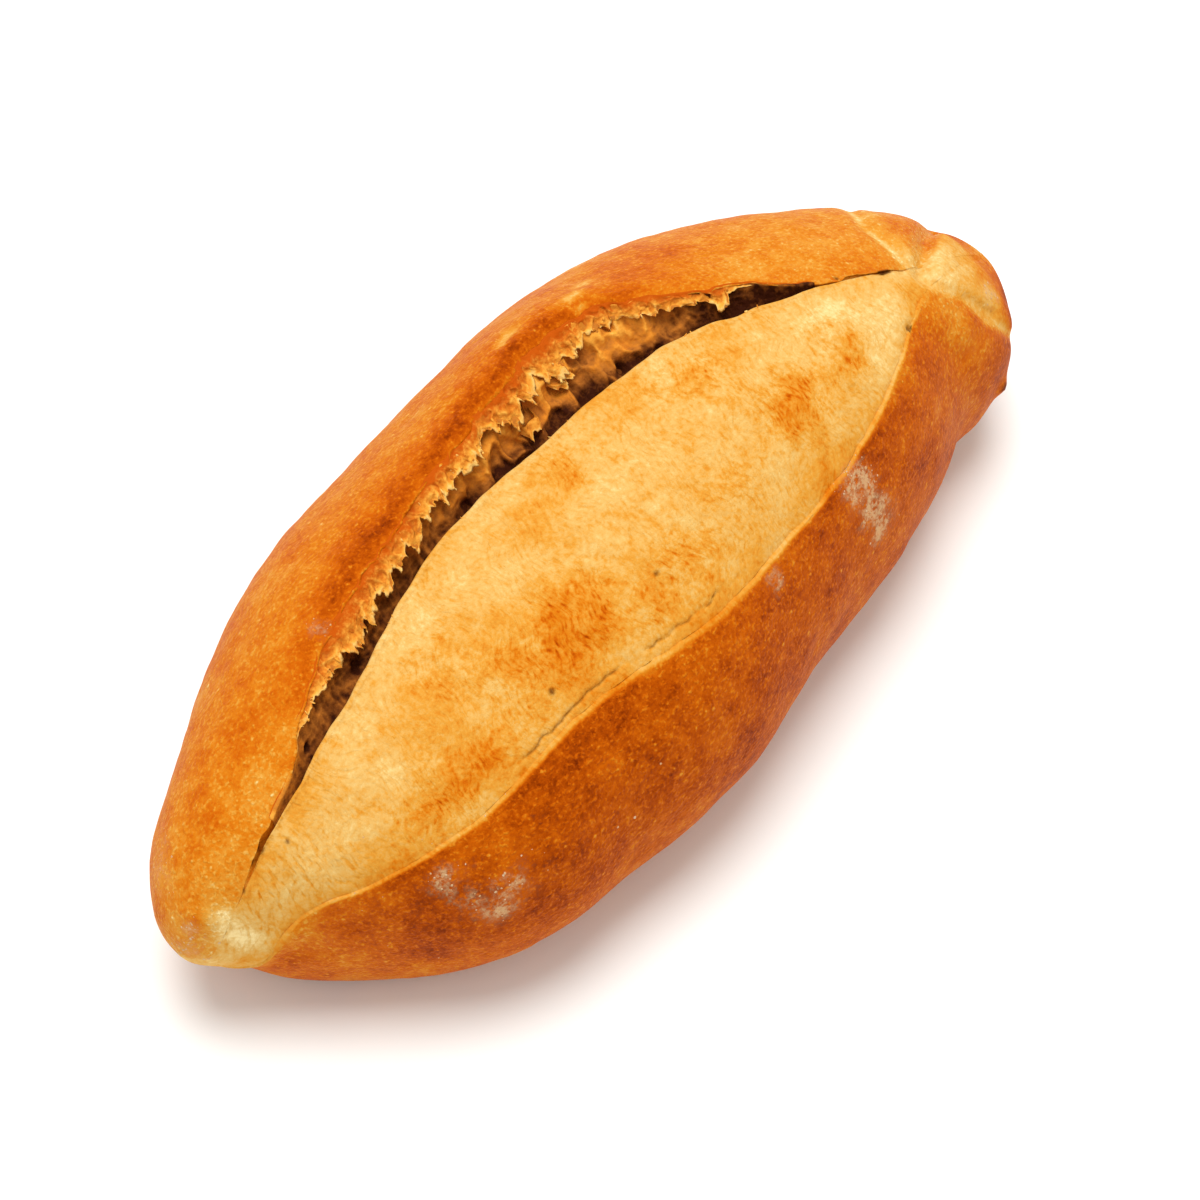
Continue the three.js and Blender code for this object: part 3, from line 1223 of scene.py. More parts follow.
    def skin_points(self, path: Knots) -> Array:
        """Points of the plain skin in space.

        Args:
            path: (station, angle) places.

        Returns:
            The points: the outline, raised where the ear is.
        """
        stations, angles = np.array(path, dtype=float).T
        section = self.section(stations)
        on_ear = (angles > section.lip) & (angles < LEFT_BULGE)
        height = np.where(on_ear, self.ear_height(section, angles), 0.0)
        return np.concatenate([section.x[:, None], self.outline(section, angles, height)], axis=-1)

    def distance_to(self, path: Knots, points: Array) -> Array:
        """How far points are from a path on the skin: the least distance to its straight pieces.

        Args:
            path: (station, angle) places.
            points: points in space.

        Returns:
            A distance for each point.
        """
        knots = self.skin_points(path)
        nearest = np.linalg.norm(points - knots[0], axis=-1)
        for start, end in zip(knots[:-1], knots[1:]):
            step = end - start
            share = np.clip((points - start) @ step / (step @ step), 0.0, 1.0)
            nearest = np.minimum(nearest, np.linalg.norm(points - start - share[..., None] * step, axis=-1))
        return nearest

    def press(self, points: Array, grooves: tuple[Groove, ...]) -> Array:
        """Press grooves into points, towards the loaf's own axis, by a bell curve of the distance.

        Args:
            points: points in space.
            grooves: the grooves.

        Returns:
            The points, moved.
        """
        axis = np.array([0.0, 0.0, self.tip_height])
        inward = unit((axis - points) * np.array([0.0, 1.0, 1.0]))
        press = sum(g.depth * bell(self.distance_to(g.path, points), g.width) for g in grooves)
        return points + inward * press[..., None]


# The skin of the loaf


@dataclass(frozen=True)
class Mark:
    """A mark on the crust along a path of (station, angle) points, fading out by a bell curve.

    The level is the bake level that a painted mark brings; other marks leave it as it is.
    """

    path: Knots
    reach: float
    strength: float
    level: float = 0.0


@dataclass(frozen=True)
class Band:
    """A band along the lip: what it adds to the bake level, how far past it lies, and where it runs."""

    bake: float
    place: float
    width: float
    stretch: Stretch

    def at(self, past: Array, stations: Array) -> Array:
        """The bake, times a bell curve across the band, on its stretch."""
        return self.bake * (bell(past - self.place, self.width) * self.stretch.at(stations))


@dataclass(frozen=True)
class Columns:
    """How many columns a stroke has, and the power that crowds them towards one of its ends."""

    count: int
    crowding: float = 1.0

    def shares(self) -> Array:
        """Shares of the way along the stroke: even steps, raised to the power."""
        return (np.arange(self.count)[None, :] / self.count) ** self.crowding


@dataclass
class Layout:
    """The skin's grid before its fine relief, with what its masks are worked out from."""

    points: Array
    section: Section
    angles: Array
    shares: Array
    strokes: Array
    arcs: Array
    rough: Array

    def past(self, stroke: Stroke) -> Array:
        """Millimetres round the skin from the start of a stroke; negative before it."""
        start = int(np.argmax(self.strokes == stroke.value))
        return self.arcs - self.arcs[:, start : start + 1]

    def on(self, *strokes: Stroke) -> Array:
        """1 on the columns of these strokes, 0 elsewhere."""
        return np.isin(self.strokes, [stroke.value for stroke in strokes]).astype(float)[None, :]


@dataclass
class LoafSkin:
    """The whole crust as one closed skin with its relief and its baked marks.

    A name that ends in bake is what a feature adds to the bake level. The points, the normals and the
    marks are kept when the skin is built, for the flour that lies on it.
    """

    form: LoafForm
    shift: Array
    points: Array = field(init=False, repr=False)
    normals: Array = field(init=False, repr=False)
    marks: dict[str, Array] = field(init=False, repr=False)
    rows: int = 285
    row_samples: int = 4000
    flap_columns: Columns = Columns(96, 0.75)
    edge_columns: Columns = Columns(10)
    belly_columns: Columns = Columns(88, 1.4)
    brow_columns: Columns = Columns(14)
    torn_columns: Columns = Columns(22)
    ear_columns: Columns = Columns(84)
    left_columns: Columns = Columns(30, 1.2)
    lumps: Noise = Noise(15.0, 2, 11, 0.2)
    dimples: Noise = Noise(4.0, 2, 23, 0.12)
    ripples: Noise = Noise(1.0, 2, 37, 0.16)
    ripple_bend: Noise = Noise(7.0, 1, 5)
    ripple_size: Pair = (2.0, 5.0)
    base_fade: Range = (0.5, 6.0)
    crack_depth: float = 0.4
    crack_width: float = 0.28
    crack_way: float = 2.0
    crack_stretch: Stretch = Stretch(-0.5, 0.02, 0.05)
    crack_wander: Noise = Noise(5.0, 3, 71)
    crack_breaks: Noise = Noise(6.0, 2, 73)
    crack_break_range: Range = (-0.5, 0.4)
    crack_strengths: Pair = (0.2, 1.0)
    # Painted shade in the fine crack beside the ridge, mixed in with the char colour
    crack_painted_shade: float = 0.55
    torn_sink: float = 1.8
    rough_noise: Noise = Noise(6.0, 3, 41)
    open_depth: Range = (0.0, 1.3)
    torn_level: float = 0.72
    painted_rough_bake: float = 0.05
    brow_edge_shade: float = 0.44
    brow_edge_reach: float = 1.2
    brow_shade: Rise = Rise(0.5, 0.02, 0.4)
    torn_shades: Pair = (0.95, 0.45)
    near_light: Rise = Rise(0.4, -0.66, -0.76)
    cap_fibre: float = 0.6
    cap_smoothness: float = 0.6
    left_blister: float = 0.9
    wrinkle_strength: float = 0.8
    flour_strength: float = 0.8
    flour_noise: Noise = Noise(2.2, 2, 53, 0.6)
    cap_range: Range = (-0.008, 0.012)
    cap_level: float = 0.2
    cap_right_bake: Rise = Rise(0.28, 80.0, 25.0)
    cap_left_bake: Rise = Rise(0.24, 82.0, 120.0)
    cap_tip_bake: Rise = Rise(0.24, 0.82, 0.95)
    cap_rough_bake: float = 0.14
    belly_level: float = 0.2
    belly_ridge_bake: float = 0.08
    belly_patch_bake: Rise = Rise(0.1, 0.0, 0.9)
    belly_patch_noise: Noise = Noise(9.0, 3, 61)
    belly_rough_bake: float = 0.05
    ear_level: float = 0.53
    ear_band: Band = Band(0.14, 1.5, 4.5, Stretch(-0.64, 0.3, 0.08))
    ear_stripe: Band = Band(0.1, 1.8, 1.6, Stretch(-0.58, 0.3, 0.1))
    ear_stripe_wander: float = 1.2
    ear_rough_bake: float = 0.06
    lip_pale_and_light_bake: float = -0.12
    # Lighter at the lip: its own pale torn edge, and painted light that lifts the shadow line under the
    # lip's edge
    torn_edge_reach: float = 0.6
    closed_level: float = 0.34
    closed_range: Range = (-0.82, -0.91)
    closed_reach: float = 4.0
    flap_level: float = 0.73
    flap_low_bake: Rise = Rise(-0.13, 26.0, 5.0)
    flap_rough_bake: float = 0.07
    ridge_line_bake: float = -0.4
    ridge_line_widths: Pair = (0.26, 0.45)
    ridge_line_range: Range = (-0.7, -0.4)
    ridge_wear_noise: Noise = Noise(2.0, 2, 57)
    ridge_wear_range: Range = (-0.7, 0.3)
    knuckles: tuple[Mark, ...] = (
        Mark(((0.425, -5),), 5.0, 0.5), Mark(((0.212, 8),), 5.0, 0.4), Mark(((0.629, -11),), 5.0, 0.5),
        Mark(((0.69, 50), (0.72, 40)), 4.0, 0.4), Mark(((0.833, -10),), 1.6, 0.9),
        Mark(((-0.86, 16), (-0.89, 4)), 1.6, 0.7), Mark(((-0.95, 40),), 2.5, 0.5),
        Mark(((-0.97, 62),), 2.2, 0.4), Mark(((-0.985, 25),), 2.0, 0.4), Mark(((-0.972, 5),), 1.2, 0.4),
        Mark(((-0.962, 60),), 1.3, 0.35), Mark(((-0.945, -8),), 1.2, 0.35),
        Mark(((-0.965, 33),), 1.1, -0.3), Mark(((0.65, 53), (0.68, 40), (0.71, 30)), 1.6, -0.35),
        Mark(((0.796, 53), (0.815, 46), (0.845, 37)), 0.9, -0.5),
        Mark(((0.06, 125.5), (0.09, 126.5)), 1.3, -0.3),
        Mark(((0.225, 119.0), (0.26, 120.0)), 1.2, -0.25), Mark(((0.623, 59),), 0.9, -0.6),
    )
    painted: tuple[Mark, ...] = (
        Mark(((-0.66, 12),), 9.0, 0.7, 0.8), Mark(((-0.49, 22),), 7.0, 0.5, 0.78),
        Mark(((-0.25, 43),), 4.0, 0.5, 0.76), Mark(((-0.07, 36),), 6.0, 0.5, 0.76),
        Mark(((-0.84, 8),), 8.0, 0.7, 0.56), Mark(((0.62, 28), (0.75, 20)), 8.0, 0.6, 0.58),
        Mark(((0.7, 60), (0.74, 45)), 4.2, 0.9, 0.44), Mark(((0.642, 55), (0.672, 38)), 0.8, 0.4, 0.66),
        Mark(((0.5, 106), (0.7, 110)), 7.0, 0.7, 0.38),
        Mark(((0.27, 122), (0.46, 121)), 6.0, 0.65, 0.6),
        Mark(((0.06, 125.5), (0.09, 126.5)), 1.2, 0.75, 0.16),
        Mark(((0.21, 123.0), (0.235, 123.5)), 1.0, 0.75, 0.16),
        Mark(((0.25, 126.6), (0.275, 127.0)), 0.9, 0.75, 0.18),
        Mark(((0.2, 119.3), (0.215, 119.5)), 0.7, 0.6, 0.2),
        Mark(((0.61, 69), (0.5, 58)), 3.2, 0.6, 0.05),
        Mark(((-0.9, 26), (-0.874, 36), (-0.812, 51), (-0.7, 64), (-0.59, 66)), 5.0, 0.36, 0.04),
        # The near tip's pale crust, brightened further as painted light where the tip faces away from the
        # key light
        Mark(((-0.937, 46), (-0.93, 28), (-0.92, 10)), 2.8, 0.9, -0.04),
        Mark(((-0.95, -5), (-0.92, -15)), 2.6, 0.6, 0.2),
        Mark(((-0.93, 125), (-0.955, 112)), 3.4, 0.5, 0.34),
        Mark(((-0.985, 50), (-0.99, 20)), 3.0, 0.7, 0.42), Mark(((-0.968, 62),), 1.5, 0.7, 0.56),
        Mark(((-0.978, 15),), 1.5, 0.7, 0.5), Mark(((-0.93, -12),), 1.3, 0.6, 0.44),
        Mark(((-0.957, 75),), 3.0, 0.6, 0.5), Mark(((-0.91, 60), (-0.88, 72)), 3.0, 0.5, 0.42),
        Mark(((0.456, 85), (0.53, 84)), 4.0, 0.75, 0.1), Mark(((-0.7, 92), (-0.9, 66)), 4.0, 0.6, 0.4),
        Mark(((0.742, 80), (0.765, 100), (0.805, 114)), 2.2, 0.7, 0.2),
        Mark(((0.785, 100), (0.815, 105), (0.85, 117)), 3.2, 0.9, 0.52),
        # Painted highlight: a thin light line along the crease of the far fold
        Mark(((0.726, 82), (0.748, 105), (0.79, 125), (0.834, 144)), 0.45, 0.85, 0.03),
        Mark(((0.75, 76), (0.805, 85.5), (0.85, 94), (0.893, 102)), 1.0, 0.8, 0.06),
        Mark(((0.775, 70), (0.8, 77)), 3.6, 0.7, 0.08),
        Mark(((0.735, 66), (0.782, 56), (0.815, 39), (0.869, 18), (0.905, -5)), 0.9, 0.85, 0.1),
        Mark(((-0.34, 78), (-0.305, 70), (-0.31, 63), (-0.335, 58)), 0.6, 0.5, 0.46),
        Mark(((-0.08, 80), (-0.03, 72), (-0.04, 64)), 0.6, 0.3, 0.42),
        Mark(((0.2, 86), (0.24, 78), (0.23, 70)), 0.6, 0.3, 0.42),
    )
    toasted: tuple[tuple[float, float], ...] = (
        (0.48, 74.7), (0.362, 67.3), (0.283, 66.5), (-0.052, 91.9), (-0.036, 60.5), (-0.219, 71.1),
        (-0.219, 63.7), (-0.283, 63.7), (-0.464, 79.8), (-0.354, 69.0), (-0.488, 55.0), (-0.64, 52.5),
        (0.171, 94.0), (0.243, 89.8), (0.32, 70.0), (-0.25, 67.0), (0.02, 55.0), (-0.12, 58.0),
        (-0.4, 60.0), (-0.56, 58.0), (0.15, 62.0), (0.467, 65.4),
    )
    wrinkled: tuple[Mark, ...] = (
        Mark(((-0.86, 46), (-0.79, 46)), 5.0, 1.0), Mark(((-0.9, 20), (-0.94, 20)), 4.0, 0.8),
    )
    toast_reach: float = 4.6
    toast_strength: float = 0.5
    flour_marks: tuple[Mark, ...] = (
        Mark(((-0.664, 32),), 2.2, 0.75), Mark(((-0.586, 22), (-0.604, 16)), 2.6, 0.85),
        Mark(((-0.62, 17), (-0.645, 24)), 2.4, 0.5), Mark(((-0.8, 12), (-0.35, 28)), 13.0, 0.12),
        Mark(((0.084, 37),), 1.8, 1.2), Mark(((0.338, 36), (0.362, 18)), 3.4, 1.1),
        Mark(((0.86, 47),), 2.6, 0.8), Mark(((-0.98, 48), (-0.99, 20)), 3.0, 0.5),
        Mark(((-0.541, 106),), 2.2, 0.5), Mark(((-0.93, 134), (-0.955, 128)), 3.0, 0.6),
    )
    # Dark spots: burnt specks on the crust, and painted shade in the closed slit, in small dents and along
    # a crease
    char_and_shade_spots: tuple[Mark, ...] = (
        Mark(((-0.089, 62.6),), 0.6, 0.8), Mark(((-0.354, 58.0),), 0.7, 0.8),
        Mark(((-0.805, 67.0),), 0.5, 0.7), Mark(((0.623, 59.0),), 0.6, 0.9),
        Mark(((0.832, -9.0),), 1.0, 0.9), Mark(((0.581, 90.2),), 0.5, 0.9),
        Mark(((0.665, 83.6), (0.68, 82.6)), 0.5, 1.0), Mark(((0.717, 80.6),), 0.45, 0.9),
        Mark(((-0.747, 82.6),), 0.6, 0.9), Mark(((-0.791, 79.4),), 0.45, 0.9),
        Mark(((-0.84, 71.4),), 0.5, 0.9), Mark(((-0.86, 66.6),), 0.45, 0.8),
        Mark(((-0.893, 54.4),), 0.4, 0.7), Mark(((0.796, 53), (0.815, 46), (0.845, 37)), 0.45, 0.5),
    )
    cap_edge: Knots = (
        (-10, 0.91), (21, 0.862), (43, 0.808), (58, 0.768), (68, 0.735), (75.7, 0.747), (86.4, 0.805),
        (103, 0.893), (125, 0.94), (135, 0.95),
    )

    def build(self) -> Object:
        """Make the skin.

        Returns:
            The piece, which stands for the solid.
        """
        layout = self._layout()
        relief = self._relief(layout)
        normals = grid_normals(layout.points)
        points = layout.points + normals * relief[..., None]
        points[..., 2] = np.maximum(points[..., 2], 0.0)
        tip = np.array([self.form.half_length, 0.0, self.form.tip_height])
        near_tip = tip * np.array([-1.0, 1.0, 1.0])
        self.points = points + self.shift
        self.normals = normals
        self.marks = self._marks(layout)
        surface = closed_tube(self.points, near_tip + self.shift, tip + self.shift, self.marks)
        return surface.put("loaf_skin")

    def dress(self, piece: Object, finish: CrustFinish) -> None:
        """Give the skin its finish and its place in the part.

        Args:
            piece: the skin.
            finish: its finish.
        """
        piece.data.materials.append(finish.material())
        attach(piece, BODY)
        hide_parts(NODE)

    def _stations(self) -> Array:
        """Where the rows stand: even steps along an ellipse as long as the loaf and as wide as its rise.

        Returns:
            Their stations, without the two tips.
        """
        turn = np.linspace(0.0, np.pi, self.row_samples)
        form = self.form
        steps = np.hypot(form.half_length * np.sin(turn), form.crown_rise * np.cos(turn))
        arc = np.concatenate([[0.0], np.cumsum(0.5 * (steps[1:] + steps[:-1]))])
        wanted = np.linspace(0.0, arc[-1], self.rows + 1)[1:-1]
        return -np.cos(np.interp(wanted, arc, turn))

    def _layout(self) -> Layout:
        """Lay the strokes side by side round every section and press the end folds in.

        Returns:
            The plain grid.
        """
        form = self.form
        section = form.section(self._stations()[:, None])
        floor = lerp(section.brow, section.lip, form.gap_floor_share)
        crease = section.ridge + form.crease_angle
        plan = (
            (Stroke.FLAP, form.flap, self.flap_columns, BASE_MIDDLE, section.ridge),
            (Stroke.EDGE, form.edge, self.edge_columns, section.ridge, crease),
            (Stroke.BELLY, form.belly, self.belly_columns, crease, section.brow),
            (Stroke.BROW, form.brow, self.brow_columns, section.brow, floor),
            (Stroke.TORN, form.torn, self.torn_columns, floor, section.lip),
            (Stroke.EAR, form.ear, self.ear_columns, section.lip, LEFT_BULGE),
            (Stroke.LEFT, form.left, self.left_columns, LEFT_BULGE, BASE_MIDDLE + FULL_TURN),
        )
        points, angles, shares, strokes = [], [], [], []
        for stroke, draw, columns, start, end in plan:
            share = columns.shares()
            drawn = section.in_space(draw(section, share))
            points.append(drawn)
            angles.append(np.broadcast_to(lerp(start, end, share), drawn.shape[:2]))
            shares.append(share[0])
            strokes.append(np.full(columns.count, stroke.value))
        grid = form.press(np.concatenate(points, axis=1), form.end_folds)
        steps = np.linalg.norm(np.diff(grid, axis=1), axis=-1)
        return Layout(
            points=grid,
            section=section,
            angles=np.concatenate(angles, axis=1),
            shares=np.concatenate(shares),
            strokes=np.concatenate(strokes),
            arcs=np.concatenate([np.zeros((len(grid), 1)), np.cumsum(steps, axis=1)], axis=1),
            rough=self.rough_noise.at(grid),
        )

    def _crack(self, layout: Layout) -> Array:
        """The fine crack beside the ridge: a narrow, wandering bell curve along the middle of the loaf.

        Args:
            layout: the plain grid.

        Returns:
            How deep it is, from 0 to 1.
        """
        line = on_axis(layout.section.x)
        wander = self.crack_way + self.crack_wander.at(line)
        whole = smoothstep(*self.crack_break_range, self.crack_breaks.at(line))
        strength = self.crack_stretch.at(layout.section.station) * lerp(*self.crack_strengths, whole)
        return bell(layout.past(Stroke.BELLY) - wander, self.crack_width) * strength

    def _relief(self, layout: Layout) -> Array:
        """Height of the fine relief.

        Lumps and dimples are layered noise, ripples on the belly are noise drawn out across it, knuckles
        are bell curves, the crack is cut in, and the torn side is sunk under the crumb that lies on it.
        All but the last two fade out at the base and at the tips.

        Args:
            layout: the plain grid.

        Returns:
            Heights along the normals.
        """
        places = layout.points
        length, width = self.ripple_size
        along = places[..., 0] / length + self.ripple_bend.at(places)
        drawn = np.stack([along, layout.past(Stroke.BELLY) / width, np.zeros_like(along)], axis=-1)
        bumps = self.lumps.at(places) + self.dimples.at(places)
        bumps = bumps + self.ripples.at(drawn) * layout.on(Stroke.BELLY)
        fade = smoothstep(*self.base_fade, places[..., 2] - layout.section.under) * layout.section.relief
        height = (bumps + self._sum(self.knuckles, places)) * fade
        sunk = layout.on(Stroke.TORN) * np.sin(np.pi * layout.shares)[None, :] * layout.section.torn
        return height - self.crack_depth * self._crack(layout) - self.torn_sink * sunk

    def _weight(self, mark: Mark, points: Array) -> Array:
        """How strong a mark is: its strength times a bell curve of the distance from its path."""
        return mark.strength * bell(self.form.distance_to(mark.path, points), mark.reach)

    def _sum(self, marks: tuple[Mark, ...], points: Array) -> Array:
        """The sum of the marks at points."""
        return sum(self._weight(mark, points) for mark in marks)

    def _marks(self, layout: Layout) -> dict[str, Array]:
        """Work out what the vertices carry for the finish.

        Args:
            layout: the plain grid.

        Returns:
            Bake level, toast, fibres, wrinkles, blisters, flour, char and painted shade, and the way across
            from the ridge in metres.
        """
        points = layout.points
        right = layout.on(Stroke.FLAP)
        left = layout.on(Stroke.EAR, Stroke.LEFT)
        belly = layout.on(Stroke.BELLY)
        pale = layout.on(Stroke.BELLY, Stroke.EDGE, Stroke.BROW)
        torn = layout.on(Stroke.TORN)
        cap = self._cap(layout)
        open_gap = smoothstep(*self.open_depth, layout.section.depth)
        toasted = tuple(Mark((place,), self.toast_reach, self.toast_strength) for place in self.toasted)
        dusting = self.flour_strength + self.flour_noise.at(points)
        char_and_shade = self._sum(self.char_and_shade_spots, points) + self.crack_painted_shade * self._crack(layout)
        return {
            "bake": self._bake(layout, cap, open_gap),
            "toast": np.minimum(self._sum(toasted, points), 1.0),
            "fibre": np.maximum(pale + torn * (1.0 - open_gap), self.cap_fibre * cap),
            "wrinkle": self.wrinkle_strength * np.minimum(self._sum(self.wrinkled, points), 1.0) * belly,
            "blister": (right + self.left_blister * left) * (1.0 - self.cap_smoothness * cap),
            "flour": self._sum(self.flour_marks, points) * dusting,
            # Char spots, plus painted shade in the crack and down the gap's sides
            "char_and_shade": char_and_shade + self._gap_shade(layout) * open_gap,
            "across": layout.past(Stroke.BELLY) * METRES,
        }

    def _bake(self, layout: Layout, cap: Array, open_gap: Array) -> Array:
        """Bake level: each stroke's own, the far cap's over it, and the painted marks over both.

        Args:
            layout: the plain grid.
            cap: where the far cap is.
            open_gap: how open the gap is.

        Returns:
            Levels, from about 0 for cream to 1 for dark brown.
        """
        points = layout.points
        belly = self._belly_level(layout)
        flap = layout.on(Stroke.FLAP) * self._flap_level(layout)
        ear = layout.on(Stroke.EAR, Stroke.LEFT) * self._ear_level(layout)
        pale = layout.on(Stroke.BELLY, Stroke.EDGE, Stroke.BROW) * belly
        torn = layout.on(Stroke.TORN) * lerp(belly, self.torn_level, open_gap)
        bake = lerp(flap + ear + pale + torn, self._cap_level(layout), cap)
        for mark in self.painted:
            level = mark.level + self.painted_rough_bake * layout.rough
            bake = lerp(bake, level, self._weight(mark, points))
        return bake

    def _gap_shade(self, layout: Layout) -> Array:
        """Painted shade on the gap's sides: decaying away from the brow, and most at the floor.

        Args:
            layout: the plain grid.

        Returns:
            Shares of the char colour, as painted shade.
        """
        before_brow = np.minimum(layout.past(Stroke.BROW), 0.0)
        edge = self.brow_edge_shade * layout.on(Stroke.BELLY) * np.exp(before_brow / self.brow_edge_reach)
        brow = layout.on(Stroke.BROW) * self.brow_shade.at(layout.shares)
        torn = layout.on(Stroke.TORN) * lerp(*self.torn_shades, layout.shares)
        return edge + brow + torn * (1.0 - self.near_light.at(layout.section.station))

    def _cap(self, layout: Layout) -> Array:
        """1 on the small lobe that caps the far tip, beyond a line that runs across the loaf."""
        edge = np.interp(layout.angles, *np.array(self.cap_edge).T)
        return smoothstep(*self.cap_range, layout.section.station - edge)

    def _cap_level(self, layout: Layout) -> Array:
        """Bake level of the far cap: pale beside the belly, rising in soft steps where it turns down.

        Args:
            layout: the plain grid.

        Returns:
            Levels.
        """
        low = self.cap_right_bake.at(layout.angles) + self.cap_left_bake.at(layout.angles)
        low = low + self.cap_tip_bake.at(layout.section.station)
        return self.cap_level + low + self.cap_rough_bake * layout.rough

    def _belly_level(self, layout: Layout) -> Array:
        """Bake level of the belly: cream beside the gap, rising by a square towards the ridge, in patches.

        Args:
            layout: the plain grid.

        Returns:
            Levels.
        """
        section = layout.section
        share = np.clip((layout.angles - section.ridge) / (section.brow - section.ridge), 0.0, 1.0)
        patches = self.belly_patch_bake.at(self.belly_patch_noise.at(layout.points))
        near_ridge = self.belly_ridge_bake * (1.0 - share) ** 2
        return self.belly_level + near_ridge + patches + self.belly_rough_bake * layout.rough

    def _ear_level(self, layout: Layout) -> Array:
        """Bake level of the ear and the left side: bell curves along the lip, lighter where the gap closes.

        Args:
            layout: the plain grid.

        Returns:
            Levels.
        """
        stations = layout.section.station
        past_lip = layout.past(Stroke.EAR)
        band = self.ear_band.at(past_lip, stations)
        stripe = self.ear_stripe.at(past_lip - self.ear_stripe_wander * layout.rough, stations)
        # The lip's pale edge, with painted light that lifts the shadow line under it
        lip_pale_and_light = layout.section.torn * np.exp(-np.abs(past_lip) / self.torn_edge_reach)
        closed = smoothstep(*self.closed_range, stations) * np.exp(-np.abs(past_lip) / self.closed_reach)
        level = self.ear_level + band + stripe + self.lip_pale_and_light_bake * lip_pale_and_light
        return lerp(level + self.ear_rough_bake * layout.rough, self.closed_level, closed)

    def _flap_level(self, layout: Layout) -> Array:
        """Bake level of the right flap: deep, with a worn pale bell curve on the ridge, lighter low down.

        Args:
            layout: the plain grid.

        Returns:
            Levels.
        """
        wear = smoothstep(*self.ridge_wear_range, self.ridge_wear_noise.at(layout.points))
        widening = smoothstep(*self.ridge_line_range, layout.section.station)
        ridge_line = bell(layout.past(Stroke.EDGE), lerp(*self.ridge_line_widths, widening))
        ridge_line = ridge_line * np.minimum(layout.section.edge, 1.0) * wear
        low = self.flap_low_bake.at(layout.points[..., 2])
        level = self.flap_level + self.ridge_line_bake * ridge_line + low
        return level + self.flap_rough_bake * layout.rough


# Scattered grains


def grain_shape(sides: int, bands: int) -> Surface:
    """A ball of radius 1: rings at even angles between two poles, faces outwards.

    Args:
        sides: number of corners of a ring.
        bands: number of bands from pole to pole.

    Returns:
        The ball.
    """
    turn = np.linspace(0.0, 2 * np.pi, sides, endpoint=False)[None, :]
    lift = np.linspace(-0.5 * np.pi, 0.5 * np.pi, bands + 1)[1:-1, None]
    high = np.broadcast_to(np.sin(lift), (bands - 1, sides))
    rings = np.stack([np.cos(lift) * np.cos(turn), np.cos(lift) * np.sin(turn), high], axis=-1)
    ball = closed_tube(rings, np.array([0.0, 0.0, -1.0]), np.array([0.0, 0.0, 1.0]), {})
    return Surface(ball.vertices, ball.quads[:, ::-1], ball.triangles[:, ::-1])


def scatter(
    shape: Surface, centres: Array, axes: Array, uneven: float, random: np.random.Generator
) -> Surface:
    """Copies of a small shape as one surface.

    Every copy's points are moved in or out by their own random share, then turned and stretched by
    three axes and moved to their place.

    Args:
        shape: the shape, about the origin.
        centres: one place for each copy, shaped (copies, 3).
        axes: three axis vectors for each copy, with the half sizes as their lengths.
        uneven: spread of the random shares.
        random: source of the random shares.

    Returns:
        The joined surface.
    """
    copies, count = len(centres), len(shape.vertices)
    draws = np.clip(random.standard_normal((copies, count, 1)), -WIDEST_DRAW, WIDEST_DRAW)
    vertices = centres[:, None] + (shape.vertices[None] * (1.0 + uneven * draws)) @ axes
    starts = np.arange(copies)[:, None, None] * count
    quads = (shape.quads[None] + starts).reshape(-1, 4)
    triangles = (shape.triangles[None] + starts).reshape(-1, 3)
    return Surface(vertices.reshape(-1, 3), quads, triangles)


def frames_about(up: Array, random: np.random.Generator) -> Array:
    """Three unit axes for each direction: two at a random turn about it, and the direction itself."""
    side = unit(np.cross(up, random.standard_normal(up.shape)))
    return np.stack([side, np.cross(up, side), up], axis=1)


# The torn crumb in the gap


@dataclass(frozen=True)
class Foam:
    """Open crumb: hollows at bubble centres, films where two bubbles meet, and fine pores."""

    warp: Warp
    bubbles: Bubbles
    pores: Bubbles
    hollow_range: Range
    film_range: Range

    def at(self, points: Array) -> tuple[Array, Array, Array]:
        """Read the crumb.

        A hollow is a soft step of the distance from the nearest bubble centre, and a film is one of how
        much farther the next centre is.

        Args:
            points: places in millimetres.

        Returns:
            Hollows and films from 0 to 1, and pores about 0, lowest at their centres.
        """
        warped = self.warp.at(points)
        nearest, second = self.bubbles.distances(warped)
        pores, _ = self.pores.distances(warped)
        hollow = smoothstep(*self.hollow_range, nearest)
        return hollow, smoothstep(*self.film_range, second - nearest), pores - 0.5


